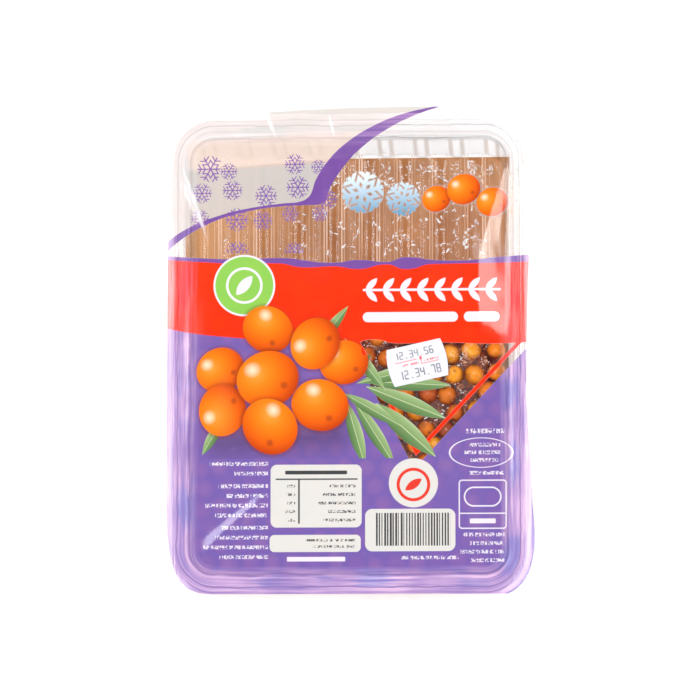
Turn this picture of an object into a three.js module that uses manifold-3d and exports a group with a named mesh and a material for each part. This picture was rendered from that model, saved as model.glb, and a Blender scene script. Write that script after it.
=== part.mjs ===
// Sealed tray of frozen sea buckthorn berries: a clear ribbed tray with a sealing flange,
// a kraft card under it, a printed lid film over it, a paper date sticker on the film
// and the mass of frozen berries in the half of the tray nearer to -Y.
// Units are millimetres. +Z is up, +Y is the long way, towards the lid's top edge.

import * as THREE from 'three';
import { mergeVertices } from 'three/addons/utils/BufferGeometryUtils.js';
import Module from 'manifold-3d';

const wasm = await Module();
wasm.setup();

// Driving dimensions: tray
const flangeWidth = 148;
const flangeLength = 199;
const flangeRadius = 17.5;
const sheetThickness = 0.6;
const trayTop = 31.5;
const flangeFlat = 4.4;
const lipDrop = 1.6;
const stepDepth = 3;
const ledgeWidth = 1.6;
const sideDraft = 1.5;
const endDraft = 3.8;
const floorFillet = 3;

// Driving dimensions: ribs of the floor, which run on as flutes up both end walls
const ribCount = 7;
const ribPitch = 15;
const ribHeight = 1.5;
const ribFootHalf = 4.3;
const ribCrestHalf = 3.4;
const fluteFootHalf = 2.7;
const fluteCrestHalf = 1.3;
const fluteDepth = 1.5;
const fluteTop = 25.5;
const cornerSteps = 6;

// Driving dimensions: card, film and sticker
const contactGap = 0.05;
const cardThickness = 0.6;
const cardLeft = -71;
const cardRight = 66;
const cardBottom = -86;
const cardTop = 88;
const cardTopLeft = 82.5;
const cardBend = -8;
const filmThickness = 0.3;
const stickerThickness = 0.2;
const stickerWidth = 23;
const stickerHeight = 16;
const stickerTurn = THREE.MathUtils.degToRad(12.6);
const stickerCentre = new THREE.Vector2(28.9, -3.3);
const stickerBulge = 1.2;

// Driving dimensions: berries
const berryRadius = [4.6, 5.5];
const berrySpacing = 10.6;
const wallClearance = 0.4;
const coreHalfWidth = 62;
const coreEnd = -83.5;
const coreTop = 25.4;
const coreFront = 24;
const coreFrontTop = 9;
const slopeLength = 24;
const sideRowLevel = 14;
const berrySeed = 20251;

// Levels worked out from the above
const trayBase = cardThickness + contactGap;
const floorLevel = trayBase + sheetThickness;
const ribTop = floorLevel + ribHeight;
const ledgeLevel = trayTop - stepDepth;
const filmBase = trayTop + contactGap;
const filmTop = filmBase + filmThickness;
const coreBase = ribTop + wallClearance;
const wallInset = flangeFlat + 0.9 + ledgeWidth;

const lookOf = {
  tray: { color: 0xe9eef0, roughness: 0.12, metalness: 0, transparent: true, opacity: 0.35 },
  card: { color: 0xb57b4c, roughness: 0.85, metalness: 0 },
  film: { color: 0xc9b8dc, roughness: 0.2, metalness: 0, transparent: true, opacity: 0.6 },
  sticker: { color: 0xf7f7f5, roughness: 0.7, metalness: 0 },
  berries: { color: 0xc9781f, roughness: 0.4, metalness: 0 },
};

// A seeded generator, so that the berries lie the same way each time
function seededRandom(seed) {
  let state = seed >>> 0;
  return () => {
    state = (Math.imul(state, 1664525) + 1013904223) >>> 0;
    return state / 4294967296;
  };
}

function makeMesh(name, geometry, look) {
  const mesh = new THREE.Mesh(geometry, new THREE.MeshStandardMaterial(look));
  mesh.name = name;
  return mesh;
}

// The +Y half of one closed ring round the tray, from its -X side to its +X side.
// flute pushes the ridge points inwards and rise lifts them; halves are the ridge's half widths.
function halfRing(station) {
  const { inset, endInset = inset, z, flute = 0, rise = 0, foot = fluteFootHalf, crest = fluteCrestHalf } = station;
  const halfX = flangeWidth / 2 - inset;
  const halfY = flangeLength / 2 - endInset;
  const radius = Math.max(flangeRadius - inset, 6);
  const points = [];
  for (let i = 0; i <= cornerSteps; i++) {
    const turn = Math.PI - (i / cornerSteps) * (Math.PI / 2);
    const x = -halfX + radius + radius * Math.cos(turn);
    const y = halfY - radius + radius * Math.sin(turn);
    points.push(new THREE.Vector3(x, y, z));
  }
  for (let i = 0; i < ribCount; i++) {
    const centre = (i - (ribCount - 1) / 2) * ribPitch;
    points.push(new THREE.Vector3(centre - foot, halfY, z));
    points.push(new THREE.Vector3(centre - crest, halfY - flute, z + rise));
    points.push(new THREE.Vector3(centre + crest, halfY - flute, z + rise));
    points.push(new THREE.Vector3(centre + foot, halfY, z));
  }
  for (let i = 0; i <= cornerSteps; i++) {
    const turn = Math.PI / 2 - (i / cornerSteps) * (Math.PI / 2);
    const x = halfX - radius + radius * Math.cos(turn);
    const y = halfY - radius + radius * Math.sin(turn);
    points.push(new THREE.Vector3(x, y, z));
  }
  return points;
}

// The stations of the tray's upper skin, from the flange's lip in and down to the floor
function trayStations() {
  const wallFoot = floorLevel + floorFillet;
  const wallHeight = ledgeLevel - wallFoot;
  const onWall = (z) => {
    const down = (ledgeLevel - z) / wallHeight;
    return { z, inset: wallInset + sideDraft * down, endInset: wallInset + endDraft * down };
  };
  return [
    { inset: 0, z: trayTop - lipDrop },
    { inset: 0.2, z: trayTop - 0.4 },
    { inset: 0.7, z: trayTop },
    { inset: flangeFlat, z: trayTop },
    { inset: flangeFlat + 0.6, z: trayTop - 0.6 },
    { inset: flangeFlat + 0.9, z: ledgeLevel },
    { inset: wallInset - 0.5, z: ledgeLevel },
    onWall(ledgeLevel - 0.8),
    onWall(fluteTop),
    { ...onWall(fluteTop - 1.4), flute: fluteDepth },
    { ...onWall(wallFoot), flute: fluteDepth },
    {
      ...onWall(wallFoot - 2),
      inset: wallInset + sideDraft + 0.9,
      endInset: wallInset + endDraft + 0.9,
      flute: fluteDepth * 0.9,
      rise: ribHeight * 0.4,
      foot: 3.3,
      crest: 2.2,
    },
    {
      inset: wallInset + sideDraft + floorFillet,
      endInset: wallInset + endDraft + floorFillet,
      z: floorLevel,
      rise: ribHeight,
      foot: ribFootHalf,
      crest: ribCrestHalf,
    },
  ];
}

// Faces of the upper skin: quads between neighbouring rings, and lengthwise strips over the floor
function skinFaces(ringCount, halfCount) {
  const ringSize = 2 * halfCount;
  const faces = [];
  for (let r = 0; r < ringCount - 1; r++) {
    for (let j = 0; j < ringSize; j++) {
      const k = (j + 1) % ringSize;
      const outerA = r * ringSize + j;
      const outerB = r * ringSize + k;
      const innerA = (r + 1) * ringSize + j;
      const innerB = (r + 1) * ringSize + k;
      faces.push([outerA, innerB, outerB], [outerA, innerA, innerB]);
    }
  }
  const floor = (ringCount - 1) * ringSize;
  for (let j = 0; j < halfCount - 1; j++) {
    const northA = floor + j;
    const northB = floor + j + 1;
    const southA = floor + ringSize - 1 - j;
    const southB = floor + ringSize - 2 - j;
    faces.push([northA, southB, northB], [northA, southA, southB]);
  }
  return faces;
}

function vertexNormals(points, faces) {
  const normals = points.map(() => new THREE.Vector3());
  for (const face of faces) {
    const [a, b, c] = face.map((i) => points[i]);
    const faceNormal = new THREE.Triangle(a, b, c).getNormal(new THREE.Vector3());
    face.forEach((index, corner) => {
      const here = points[index];
      const next = points[face[(corner + 1) % 3]].clone().sub(here);
      const last = points[face[(corner + 2) % 3]].clone().sub(here);
      normals[index].addScaledVector(faceNormal, next.angleTo(last));
    });
  }
  return normals.map((normal) => normal.normalize());
}

function solidFrom(points, faces) {
  const geometry = new THREE.BufferGeometry();
  const values = points.flatMap((point) => point.toArray());
  geometry.setAttribute('position', new THREE.Float32BufferAttribute(values, 3));
  geometry.setIndex(faces.flat());
  return geometry;
}

// The tray is one sheet: its upper skin, the same skin set in by the sheet's thickness,
// and a band between the two round the lip.
function makeTray() {
  const upper = [];
  const stations = trayStations();
  for (const station of stations) {
    const north = halfRing(station);
    const south = north.map((point) => new THREE.Vector3(point.x, -point.y, point.z)).reverse();
    upper.push(...north, ...south);
  }
  const halfCount = upper.length / stations.length / 2;
  const faces = skinFaces(stations.length, halfCount);
  const normals = vertexNormals(upper, faces);
  const lower = upper.map((point, i) => point.clone().addScaledVector(normals[i], -sheetThickness));
  const shift = upper.length;
  const lowerFaces = faces.map(([a, b, c]) => [shift + a, shift + c, shift + b]);
  const lip = [];
  for (let j = 0; j < 2 * halfCount; j++) {
    const k = (j + 1) % (2 * halfCount);
    lip.push([j, shift + k, shift + j], [j, k, shift + k]);
  }
  return makeMesh('tray', solidFrom([...upper, ...lower], [...faces, ...lowerFaces, ...lip]), lookOf.tray);
}

// The card was cut by hand: its top edge falls away from a bend towards -X
function makeCard() {
  const outline = new THREE.Shape();
  outline.moveTo(cardLeft, cardBottom);
  outline.lineTo(cardRight, cardBottom);
  outline.lineTo(cardRight + 1, cardTop);
  outline.lineTo(cardBend, cardTop - 0.4);
  outline.lineTo(cardLeft, cardTopLeft);
  outline.closePath();
  const geometry = new THREE.ExtrudeGeometry(outline, { depth: cardThickness, bevelEnabled: false });
  return makeMesh('base_card', geometry, lookOf.card);
}

// The film covers the flange and stands past it by a little at the sides. A wider flap is
// left at the top edge and another at the +X, -Y corner, where the film was cut off its web.
function filmOutline() {
  const halfX = flangeWidth / 2;
  const halfY = flangeLength / 2;
  const inner = flangeRadius;
  const shape = new THREE.Shape();
  shape.moveTo(halfX + 0.6, -20);
  shape.quadraticCurveTo(halfX + 0.4, 10, halfX + 1.8, 41);
  shape.quadraticCurveTo(halfX + 1.6, 64, halfX + 0.3, halfY - inner);
  shape.absarc(halfX - inner, halfY - inner, inner + 0.3, 0, Math.PI / 2);
  shape.lineTo(47, halfY + 1.2);
  shape.bezierCurveTo(43, halfY + 1.6, 43, halfY + 5.7, 38.5, halfY + 5.8);
  shape.quadraticCurveTo(4, halfY + 6, -33, halfY + 3.8);
  shape.quadraticCurveTo(-34.6, halfY + 2, -35, halfY + 0.4);
  shape.lineTo(-(halfX - inner), halfY + 0.3);
  shape.absarc(-(halfX - inner), halfY - inner, inner + 0.3, Math.PI / 2, Math.PI - 0.35);
  shape.quadraticCurveTo(-halfX - 0.4, halfY - 22, -halfX - 1.7, halfY - 30);
  shape.quadraticCurveTo(-halfX - 2.6, 20, -halfX - 2.4, -66);
  shape.bezierCurveTo(-halfX - 2, -92, -71, -halfY - 0.9, -58, -halfY - 0.9);
  shape.lineTo(66, -halfY - 1);
  shape.lineTo(halfX + 3.4, -83);
  shape.quadraticCurveTo(halfX + 4.6, -78, halfX + 3, -63);
  shape.quadraticCurveTo(halfX + 2, -42, halfX + 0.6, -20);
  return shape;
}

function makeFilm() {
  const geometry = new THREE.ExtrudeGeometry(filmOutline(), {
    depth: filmThickness,
    bevelEnabled: false,
    curveSegments: 8,
  });
  const film = makeMesh('lid_film', geometry, lookOf.film);
  film.position.z = filmBase;
  return film;
}

// A price-gun label: straight along its length, with waved short ends
function makeSticker() {
  const halfX = stickerWidth / 2;
  const halfY = stickerHeight / 2;
  const outline = new THREE.Shape();
  outline.moveTo(-halfX, -halfY);
  outline.lineTo(halfX, -halfY);
  outline.quadraticCurveTo(halfX + stickerBulge, 0, halfX, halfY);
  outline.lineTo(-halfX, halfY);
  outline.quadraticCurveTo(-halfX - stickerBulge, 0, -halfX, -halfY);
  const geometry = new THREE.ExtrudeGeometry(outline, {
    depth: stickerThickness,
    bevelEnabled: false,
    curveSegments: 6,
  });
  const sticker = makeMesh('date_sticker', geometry, lookOf.sticker);
  sticker.rotation.z = stickerTurn;
  sticker.position.set(stickerCentre.x, stickerCentre.y, filmTop + contactGap);
  return sticker;
}

function toManifold(geometry) {
  const bare = geometry.clone();
  bare.deleteAttribute('normal');
  bare.deleteAttribute('uv');
  const merged = mergeVertices(bare, 1e-4);
  return new wasm.Manifold(
    new wasm.Mesh({
      numProp: 3,
      vertProperties: new Float32Array(merged.attributes.position.array),
      triVerts: new Uint32Array(merged.index.array),
    })
  );
}

function fromManifold(solid) {
  const mesh = solid.getMesh();
  const geometry = new THREE.BufferGeometry();
  geometry.setAttribute('position', new THREE.Float32BufferAttribute(mesh.vertProperties, 3));
  geometry.setIndex([...mesh.triVerts]);
  return geometry;
}

// The main body alone: pockets that the berries close off are filled, loose scraps dropped
function largestBody(solid) {
  const bodies = solid.decompose();
  return bodies.reduce((best, body) => (body.volume() > best.volume() ? body : best));
}

// How far towards +Y the berries reach at x: an uneven edge
function frontAt(x) {
  return coreFront + 4.5 * Math.sin(x / 17 + 0.6) + 2.2 * Math.sin(x / 6.3 + 2);
}

// The height of the core's top: level, then falling to the front edge
function coreTopAt(x, y) {
  const fromFront = frontAt(x) - y;
  const along = THREE.MathUtils.clamp(fromFront / slopeLength, 0, 1);
  return THREE.MathUtils.lerp(coreFrontTop, coreTop, Math.sqrt(along));
}

// The block of frozen juice between the berries, which holds them together
function coreGeometry() {
  const steps = { x: 8, y: 6 };
  const geometry = new THREE.BoxGeometry(1, 1, 1, steps.x, steps.y, 1);
  const position = geometry.attributes.position;
  for (let i = 0; i < position.count; i++) {
    const x = position.getX(i) * 2 * coreHalfWidth;
    const y = THREE.MathUtils.lerp(coreEnd, frontAt(x), position.getY(i) + 0.5);
    const z = position.getZ(i) > 0 ? coreTopAt(x, y) : coreBase;
    position.setXYZ(i, x, y, z);
  }
  return geometry;
}

// Moves a berry clear of the film, the floor's ribs and the walls, which slope in and have
// round corners
function pushInside(centre, radius) {
  centre.z = THREE.MathUtils.clamp(centre.z, coreBase + radius, filmBase - wallClearance - radius);
  const down = (ledgeLevel - centre.z) / (ledgeLevel - floorLevel);
  const halfX = flangeWidth / 2 - wallInset - sideDraft * down - wallClearance - radius;
  const halfY = flangeLength / 2 - wallInset - endDraft * down - fluteDepth - wallClearance - radius;
  const corner = flangeRadius - wallInset - sideDraft - radius;
  const inner = new THREE.Vector2(halfX - corner, halfY - corner);
  const flat = new THREE.Vector2(centre.x, centre.y);
  const nearest = flat.clone().clamp(inner.clone().negate(), inner);
  const over = flat.clone().sub(nearest).clampLength(0, corner);
  centre.setX(nearest.x + over.x);
  centre.setY(nearest.y + over.y);
}

// Berry centres: a staggered layer on top of the core and rows on its three wall sides
function berryCentres(random) {
  const jitter = (size) => (random() - 0.5) * size;
  const centres = [];
  const rowStep = berrySpacing * 0.87;
  let row = 0;
  for (let y = coreEnd + 1; y < coreFront + 8; y += rowStep) {
    const start = -coreHalfWidth + 1 + (row % 2) * berrySpacing * 0.5;
    for (let x = start; x <= coreHalfWidth; x += berrySpacing) {
      const place = new THREE.Vector3(x + jitter(3), y + jitter(3), 0);
      place.z = coreTopAt(place.x, place.y) + jitter(1.2);
      if (place.y < frontAt(place.x) + 1) centres.push(place);
    }
    row += 1;
  }
  for (let y = coreEnd + 5; y < coreFront - 6; y += berrySpacing) {
    centres.push(new THREE.Vector3(-coreHalfWidth, y + jitter(2), sideRowLevel + jitter(4)));
    centres.push(new THREE.Vector3(coreHalfWidth, y + jitter(2), sideRowLevel + jitter(4)));
  }
  for (let x = -coreHalfWidth + 5; x < coreHalfWidth; x += berrySpacing) {
    centres.push(new THREE.Vector3(x + jitter(2), coreEnd, sideRowLevel + jitter(4)));
    centres.push(new THREE.Vector3(x + jitter(2), frontAt(x) - 1, coreBase));
  }
  return centres;
}

function makeBerries() {
  const random = seededRandom(berrySeed);
  let mass = toManifold(coreGeometry());
  for (const centre of berryCentres(random)) {
    const radius = THREE.MathUtils.lerp(berryRadius[0], berryRadius[1], random());
    pushInside(centre, radius);
    const turn = new THREE.Euler(random() * 3, random() * 3, random() * 3);
    const berry = new THREE.SphereGeometry(radius, 6, 4);
    const place = new THREE.Matrix4().makeRotationFromEuler(turn).setPosition(centre);
    berry.applyMatrix4(place);
    mass = mass.add(toManifold(berry));
  }
  return makeMesh('frozen_berries', fromManifold(largestBody(mass)), lookOf.berries);
}

// The whole pack, set over the middle of its footprint
const pack = new THREE.Group();
pack.add(makeCard(), makeTray(), makeFilm(), makeSticker(), makeBerries());
const reach = new THREE.Box3().setFromObject(pack, true);
const middle = reach.getCenter(new THREE.Vector3());
pack.position.set(-middle.x, -middle.y, 0);

export default pack;
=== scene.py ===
import bpy
import math
import random
from mathutils import Euler, Matrix, Vector, kdtree, noise


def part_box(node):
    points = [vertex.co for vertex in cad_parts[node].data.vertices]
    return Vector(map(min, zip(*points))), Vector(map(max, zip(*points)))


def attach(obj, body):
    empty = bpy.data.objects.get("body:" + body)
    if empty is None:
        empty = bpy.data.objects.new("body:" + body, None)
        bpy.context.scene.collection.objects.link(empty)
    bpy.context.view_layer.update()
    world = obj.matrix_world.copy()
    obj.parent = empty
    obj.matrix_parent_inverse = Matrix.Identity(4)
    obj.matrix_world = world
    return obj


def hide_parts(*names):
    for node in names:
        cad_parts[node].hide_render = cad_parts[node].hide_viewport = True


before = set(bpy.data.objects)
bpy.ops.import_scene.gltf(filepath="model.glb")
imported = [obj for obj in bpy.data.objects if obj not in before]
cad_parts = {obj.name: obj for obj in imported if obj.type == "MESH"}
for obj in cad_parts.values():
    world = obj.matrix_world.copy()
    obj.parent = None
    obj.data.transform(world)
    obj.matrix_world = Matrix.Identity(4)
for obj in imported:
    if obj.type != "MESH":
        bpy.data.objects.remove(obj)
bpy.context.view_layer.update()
print("frame loaded")

mm = 0.001
trayLow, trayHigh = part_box("tray")
cardLow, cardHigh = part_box("base_card")
middleX = (trayLow.x + trayHigh.x) / 2  # everything is laid out from the middle of the tray
middleY = (trayLow.y + trayHigh.y) / 2
halfWide = (trayHigh.x - trayLow.x) / 2
halfLong = (trayHigh.y - trayLow.y) / 2


def linear(hexColour):
    # sRGB hex to the linear colour that shaders use
    parts = [int(hexColour[i:i + 2], 16) / 255 for i in (1, 3, 5)]
    return tuple(p / 12.92 if p <= 0.04045 else ((p + 0.055) / 1.055) ** 2.4 for p in parts) + (1.0,)


def addNode(tree, kind, settings=None, *inputs):
    # settings are properties, inputs by name, or a ramp's stops; a bare text is the operation or data type.
    # Then come the inputs in use, in order. A node stands for its output in use, a hex text for its colour
    node = tree.nodes.new("ShaderNode" + kind)
    if isinstance(settings, str):
        settings = {"operation" if hasattr(node, "operation") else "data_type": settings}
    for name, value in [*(settings or {}).items(), *enumerate(inputs)]:
        if isinstance(name, int):
            socket = [s for s in node.inputs if s.enabled][name]
        else:
            socket = node.inputs.get(name)
        if isinstance(value, bpy.types.Node):
            value = next(output for output in value.outputs if output.enabled)
        if name == "stops":
            setStops(node.color_ramp.elements, value)
        elif socket is None:
            setattr(node, name, value)
        elif isinstance(value, bpy.types.NodeSocket):
            tree.links.new(value, socket)
        else:
            socket.default_value = linear(value) if isinstance(value, str) else value
    return node


def setStops(elements, stops):
    # place and tone of each stop from the first to the last; a tone is a hex colour or a strength
    for i, (place, tone) in enumerate(stops):
        if 0 < i < len(stops) - 1:
            stop = elements.new(place)
        else:
            stop = elements[-1 if i else 0]
            stop.position = place
        stop.color = linear(tone) if isinstance(tone, str) else (tone, tone, tone, 1)


def newMaterial(name):
    # an empty material, ready for its own nodes
    material = bpy.data.materials.new(name)
    material.use_nodes = True
    material.node_tree.nodes.clear()
    return material, material.node_tree


def surfaced(material, shader):
    # the finished material, with this shader as its surface
    addNode(material.node_tree, "OutputMaterial", {}, shader)
    return material


def smoothStep(low, high, value):
    t = min(max((value - low) / (high - low), 0.0), 1.0)
    return t * t * (3 - 2 * t)


def letGo():
    # nothing selected and no mesh open before a new piece is added
    if bpy.context.object and bpy.context.object.mode != "OBJECT":
        bpy.ops.object.mode_set(mode="OBJECT")
    bpy.ops.object.select_all(action="DESELECT")


def editing(piece):
    letGo()
    piece.select_set(True)
    bpy.context.view_layer.objects.active = piece
    bpy.ops.object.mode_set(mode="EDIT")


def pickFaces(piece, test):
    # leaves the piece in edit mode with the faces chosen by their middle and normal
    editing(piece)
    bpy.ops.mesh.select_mode(type="FACE")
    bpy.ops.mesh.select_all(action="DESELECT")
    bpy.ops.object.mode_set(mode="OBJECT")
    for face in piece.data.polygons:
        face.select = test(face.center, face.normal)
    bpy.ops.object.mode_set(mode="EDIT")


def pickPoints(piece, test):
    editing(piece)
    bpy.ops.mesh.select_mode(type="VERT")
    bpy.ops.mesh.select_all(action="DESELECT")
    bpy.ops.object.mode_set(mode="OBJECT")
    for point in piece.data.vertices:
        point.select = test(point.co)
    bpy.ops.object.mode_set(mode="EDIT")


def applyModifier(piece, kind, settings):
    bpy.ops.object.mode_set(mode="OBJECT")
    bpy.context.view_layer.objects.active = piece
    modifier = piece.modifiers.new(kind.lower(), kind)
    for name, value in settings.items():
        setattr(modifier, name, value)
    bpy.ops.object.modifier_apply(modifier=modifier.name)


def settle(piece):
    # the piece's place goes into its mesh, as a CAD node's does
    letGo()
    piece.select_set(True)
    bpy.context.view_layer.objects.active = piece
    bpy.ops.object.transform_apply(location=True, rotation=True, scale=True)


def fitOut(piece, name, slotName, material, *nodes):
    # name, finish and place in the frame of a finished piece
    piece.name = name
    piece.data.name = name
    if material is not None:
        piece.data.materials.clear()
        piece.data.materials.append(material)
    settle(piece)
    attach(piece, "root")
    if nodes:
        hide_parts(*nodes)


def smoothed(piece, degrees=None):
    # shades the piece smooth, all over or only where it bends by less than this
    letGo()
    piece.select_set(True)
    if degrees is None:
        bpy.ops.object.shade_smooth()
    else:
        bpy.ops.object.shade_smooth_by_angle(angle=math.radians(degrees))


def flatSheet(outline, level, cutsAcross, cutsAlong):
    # a flat sheet, its outline in mm from the tray's middle, cut into strips both ways so that it can wave
    letGo()
    bpy.ops.mesh.primitive_circle_add(vertices=len(outline), radius=50 * mm, fill_type="NGON")
    sheet = bpy.context.object
    settle(sheet)
    for point, (x, y) in zip(sheet.data.vertices, outline):
        point.co = (middleX + x * mm, middleY + y * mm, level)
    editing(sheet)
    for axis, cuts in enumerate((cutsAcross, cutsAlong)):
        for place in cuts:
            at, out = [0, 0, 0], [0, 0, 0]
            at[axis], out[axis] = place, 1
            bpy.ops.mesh.select_all(action="SELECT")
            bpy.ops.mesh.bisect(plane_co=at, plane_no=out)
    bpy.ops.object.mode_set(mode="OBJECT")
    return sheet


def scattered(first, places):
    # one piece from copies of the first: the place, turn and size of each, and what its attributes hold
    copies = []
    for spot, turn, size, marks in places:
        one = first.copy()
        one.data = first.data.copy()
        for name, value in marks.items():
            one.data.attributes[name].data.foreach_set("value", [value] * len(one.data.vertices))
        one.matrix_world = Matrix.LocRotScale(spot, Euler(turn).to_quaternion(), size)
        bpy.context.collection.objects.link(one)
        copies.append(one)
    letGo()
    bpy.data.objects.remove(first)
    for one in copies:
        one.select_set(True)
    bpy.context.view_layer.objects.active = copies[0]
    bpy.ops.object.join()
    return bpy.context.object


def joined(operation, masks):
    whole = masks[0]
    for mask in masks[1:]:
        whole = addNode(whole.id_data, "Math", operation, whole, mask)
    return whole


def offBy(value, place):
    # how far a value is from a place, to either side
    gap = addNode(value.id_data, "Math", "SUBTRACT", value, place)
    return addNode(value.id_data, "Math", "ABSOLUTE", gap)


def mirrored(material, body, bump, square, edgeOn):
    # the finished clear material: gloss over its body, as strong as this seen square on and edge-on
    tree = material.node_tree
    facing = addNode(tree, "LayerWeight", {"Blend": 0.5, "Normal": bump}).outputs["Facing"]
    share = addNode(tree, "Math", "MULTIPLY_ADD", addNode(tree, "Math", "POWER", facing, 5.0), edgeOn, square)
    gloss = addNode(tree, "BsdfGlossy", {"Roughness": 0.09, "Normal": bump})
    return surfaced(material, addNode(tree, "MixShader", {}, share, body, gloss))


# ---- clear tray, thermoformed from one sheet ----

traySheet = {
    "corner": 17.5 * mm,
    "cornerSteps": 8,
    "sheet": 0.45 * mm,
    "lip": 1.6 * mm,
    # (inset, rise) of each ring in mm, from the lip's edge over the flange to the top of the wall
    "rim": [(0.2, 1.2), (0.5, 0.4), (3.5, 0), (0.5, -0.35), (0.35, -1.25), (0.25, -1.2), (1.2, -0.2),
            (0.45, -0.8)],
    # (inset at the sides, extra inset at the ends, drop) of each wall ring in mm
    "wall": [(0.1, 0.15, 2.2), (0.1, 0.15, 1.4), (1.3, 2.0, 19.7), (0.5, 0.0, 1.6), (1.0, 0.0, 1.1),
             (1.5, 0.0, 0.4)],
    "ribs": 7,
    "ribPitch": 15 * mm,
    "ribFoot": 4.3 * mm,
    "ribCrest": 3.2 * mm,
    "ribHeight": 1.9 * mm,
    "fluteDepth": 1.5 * mm,
    "fluteNarrow": 0.62,
    "fluteFoot": 0.82,
}
# (level in mm, strength) of the painted dark bands where the sheet bends, from the floor's edge to the rim
bendShadeLevels = ((3.5, 0.0), (3.9, 0.3), (4.3, 0.05), (4.9, 0.3), (5.6, 0.05), (24.5, 0.0),
              (25.4, 0.4), (26.2, 0.05), (27.8, 0.05), (28.0, 0.6), (28.2, 0.05), (29.2, 0.0), (29.4, 0.65),
              (29.6, 0.05), (30.6, 0.0), (30.8, 0.7), (30.95, 0.05), (31.2, 0.0))


def clearPet():
    # PET, thermoformed: glass-clear and glossy, so the eye sees only its highlights and a cool grey
    # where the sheet turns edge-on; the forming leaves faint draw lines, the freezer a breath of frost
    material, tree = newMaterial("petThermoformedClear")
    place = addNode(tree, "TexCoord").outputs["Object"]
    drawLines = addNode(tree, "Mapping", {"Scale": (1.0, 0.1, 1.0)}, place)
    ripple = addNode(tree, "TexNoise", {"Scale": 260.0, "Detail": 2.0}, drawLines)
    split = addNode(tree, "SeparateXYZ", {}, place)
    x, z = split.outputs[0], split.outputs[2]
    onWall = addNode(tree, "MapRange", {}, z, 0.004, 0.007, 0.05, 0.5)
    bump = addNode(tree, "Bump", {"Distance": 0.0001, "Height": ripple, "Strength": onWall})
    facing = addNode(tree, "LayerWeight", {"Blend": 0.5, "Normal": bump}).outputs["Facing"]
    turned = addNode(tree, "Math", "POWER", facing, 3.0)
    tint = addNode(tree, "Mix", "RGBA", turned, "#feffff", "#f8fafa")
    # painted shade: the tint darkens in thin bands where the sheet bends round the rim
    stops = [(0, 0), *[(height / 32, dark) for height, dark in bendShadeLevels], (1, 0)]
    bendShade = addNode(tree, "ValToRGB", {"stops": stops}, addNode(tree, "MapRange", {}, z, 0.0, 0.032))
    tint = addNode(tree, "Mix", "RGBA", bendShade, tint, "#a9acad")
    # painted shade: the flutes' sides are tinted soft grey as uprights in the end walls
    pitch, foot, top = [traySheet[k] for k in ("ribPitch", "ribFoot", "ribCrest")]
    across = addNode(tree, "Math", "PINGPONG", addNode(tree, "Math", "SUBTRACT", x, middleX), pitch / 2)
    toEnd = offBy(split.outputs[1], middleY)
    fluteSideShade = [addNode(tree, "MapRange", {}, value, low, high)
               for value, low, high in ((offBy(across, top * 0.76), 0.0014, 0.0003), (toEnd, 0.08, 0.084),
                                        (z, 0.0262, 0.0245), (z, 0.003, 0.006))]
    fluteSideShade = joined("MULTIPLY", fluteSideShade)
    tint = addNode(tree, "Mix", "RGBA", fluteSideShade, tint, "#e9e6e3")
    seeThrough = addNode(tree, "BsdfTransparent", {}, tint)
    speck = addNode(tree, "TexVoronoi", {"Scale": 420.0}, place)
    patch = addNode(tree, "TexNoise", {"Scale": 60.0, "Detail": 3.0}, place)
    size = addNode(tree, "MapRange", {}, patch, 0.52, 0.72, 0, 0.42)
    grain = addNode(tree, "Math", "LESS_THAN", speck, size)
    # painted highlight: pale milky lines along the ribs' feet and crests, where their edges catch the light
    lines = []
    for edge, half, most in ((foot, 0.00028, 1.0), (top, 0.0002, 1.0), (top * 0.45, 0.00012, 0.5),
                             (foot * 1.28, 0.00012, 0.4)):
        lines.append(addNode(tree, "MapRange", {}, offBy(across, edge), half * 1.8, half * 0.4, 0, most))
    long = addNode(tree, "Mapping", {"Scale": (1.0, 0.06, 1.0)}, place)
    fade = addNode(tree, "TexNoise", {"Scale": 150.0, "Detail": 2.0}, long)
    strong = addNode(tree, "MapRange", {}, fade, 0.4, 0.64, 0.02, 0.46)
    low = addNode(tree, "MapRange", {}, z, 0.0046, 0.0038)
    ribEdgeHighlight = joined("MULTIPLY", [joined("MAXIMUM", lines), strong, low])
    onRib = joined("MULTIPLY", [addNode(tree, "MapRange", {}, across, foot, top), low])
    ribEdgeHighlight = addNode(tree, "Math", "MULTIPLY_ADD", onRib, 0.035, ribEdgeHighlight)
    haze = addNode(tree, "Math", "MULTIPLY_ADD", grain, 0.3, ribEdgeHighlight)
    breath = addNode(tree, "MapRange", {}, patch, 0.3, 0.7, 0.02, 0.13)
    breath = joined("MULTIPLY", [breath, addNode(tree, "MapRange", {}, z, 0.004, 0.008),
                                 addNode(tree, "MapRange", {}, toEnd, 0.088, 0.078)])
    frost = addNode(tree, "BsdfPrincipled", {"Base Color": "#fde4cb", "Roughness": 0.6})
    body = addNode(tree, "MixShader", {}, joined("ADD", [haze, breath]), seeThrough, frost)
    square = addNode(tree, "MapRange", {}, z, 0.004, 0.007, 0.012, 0.05)
    return mirrored(material, body, bump, square, 0.2)


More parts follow.
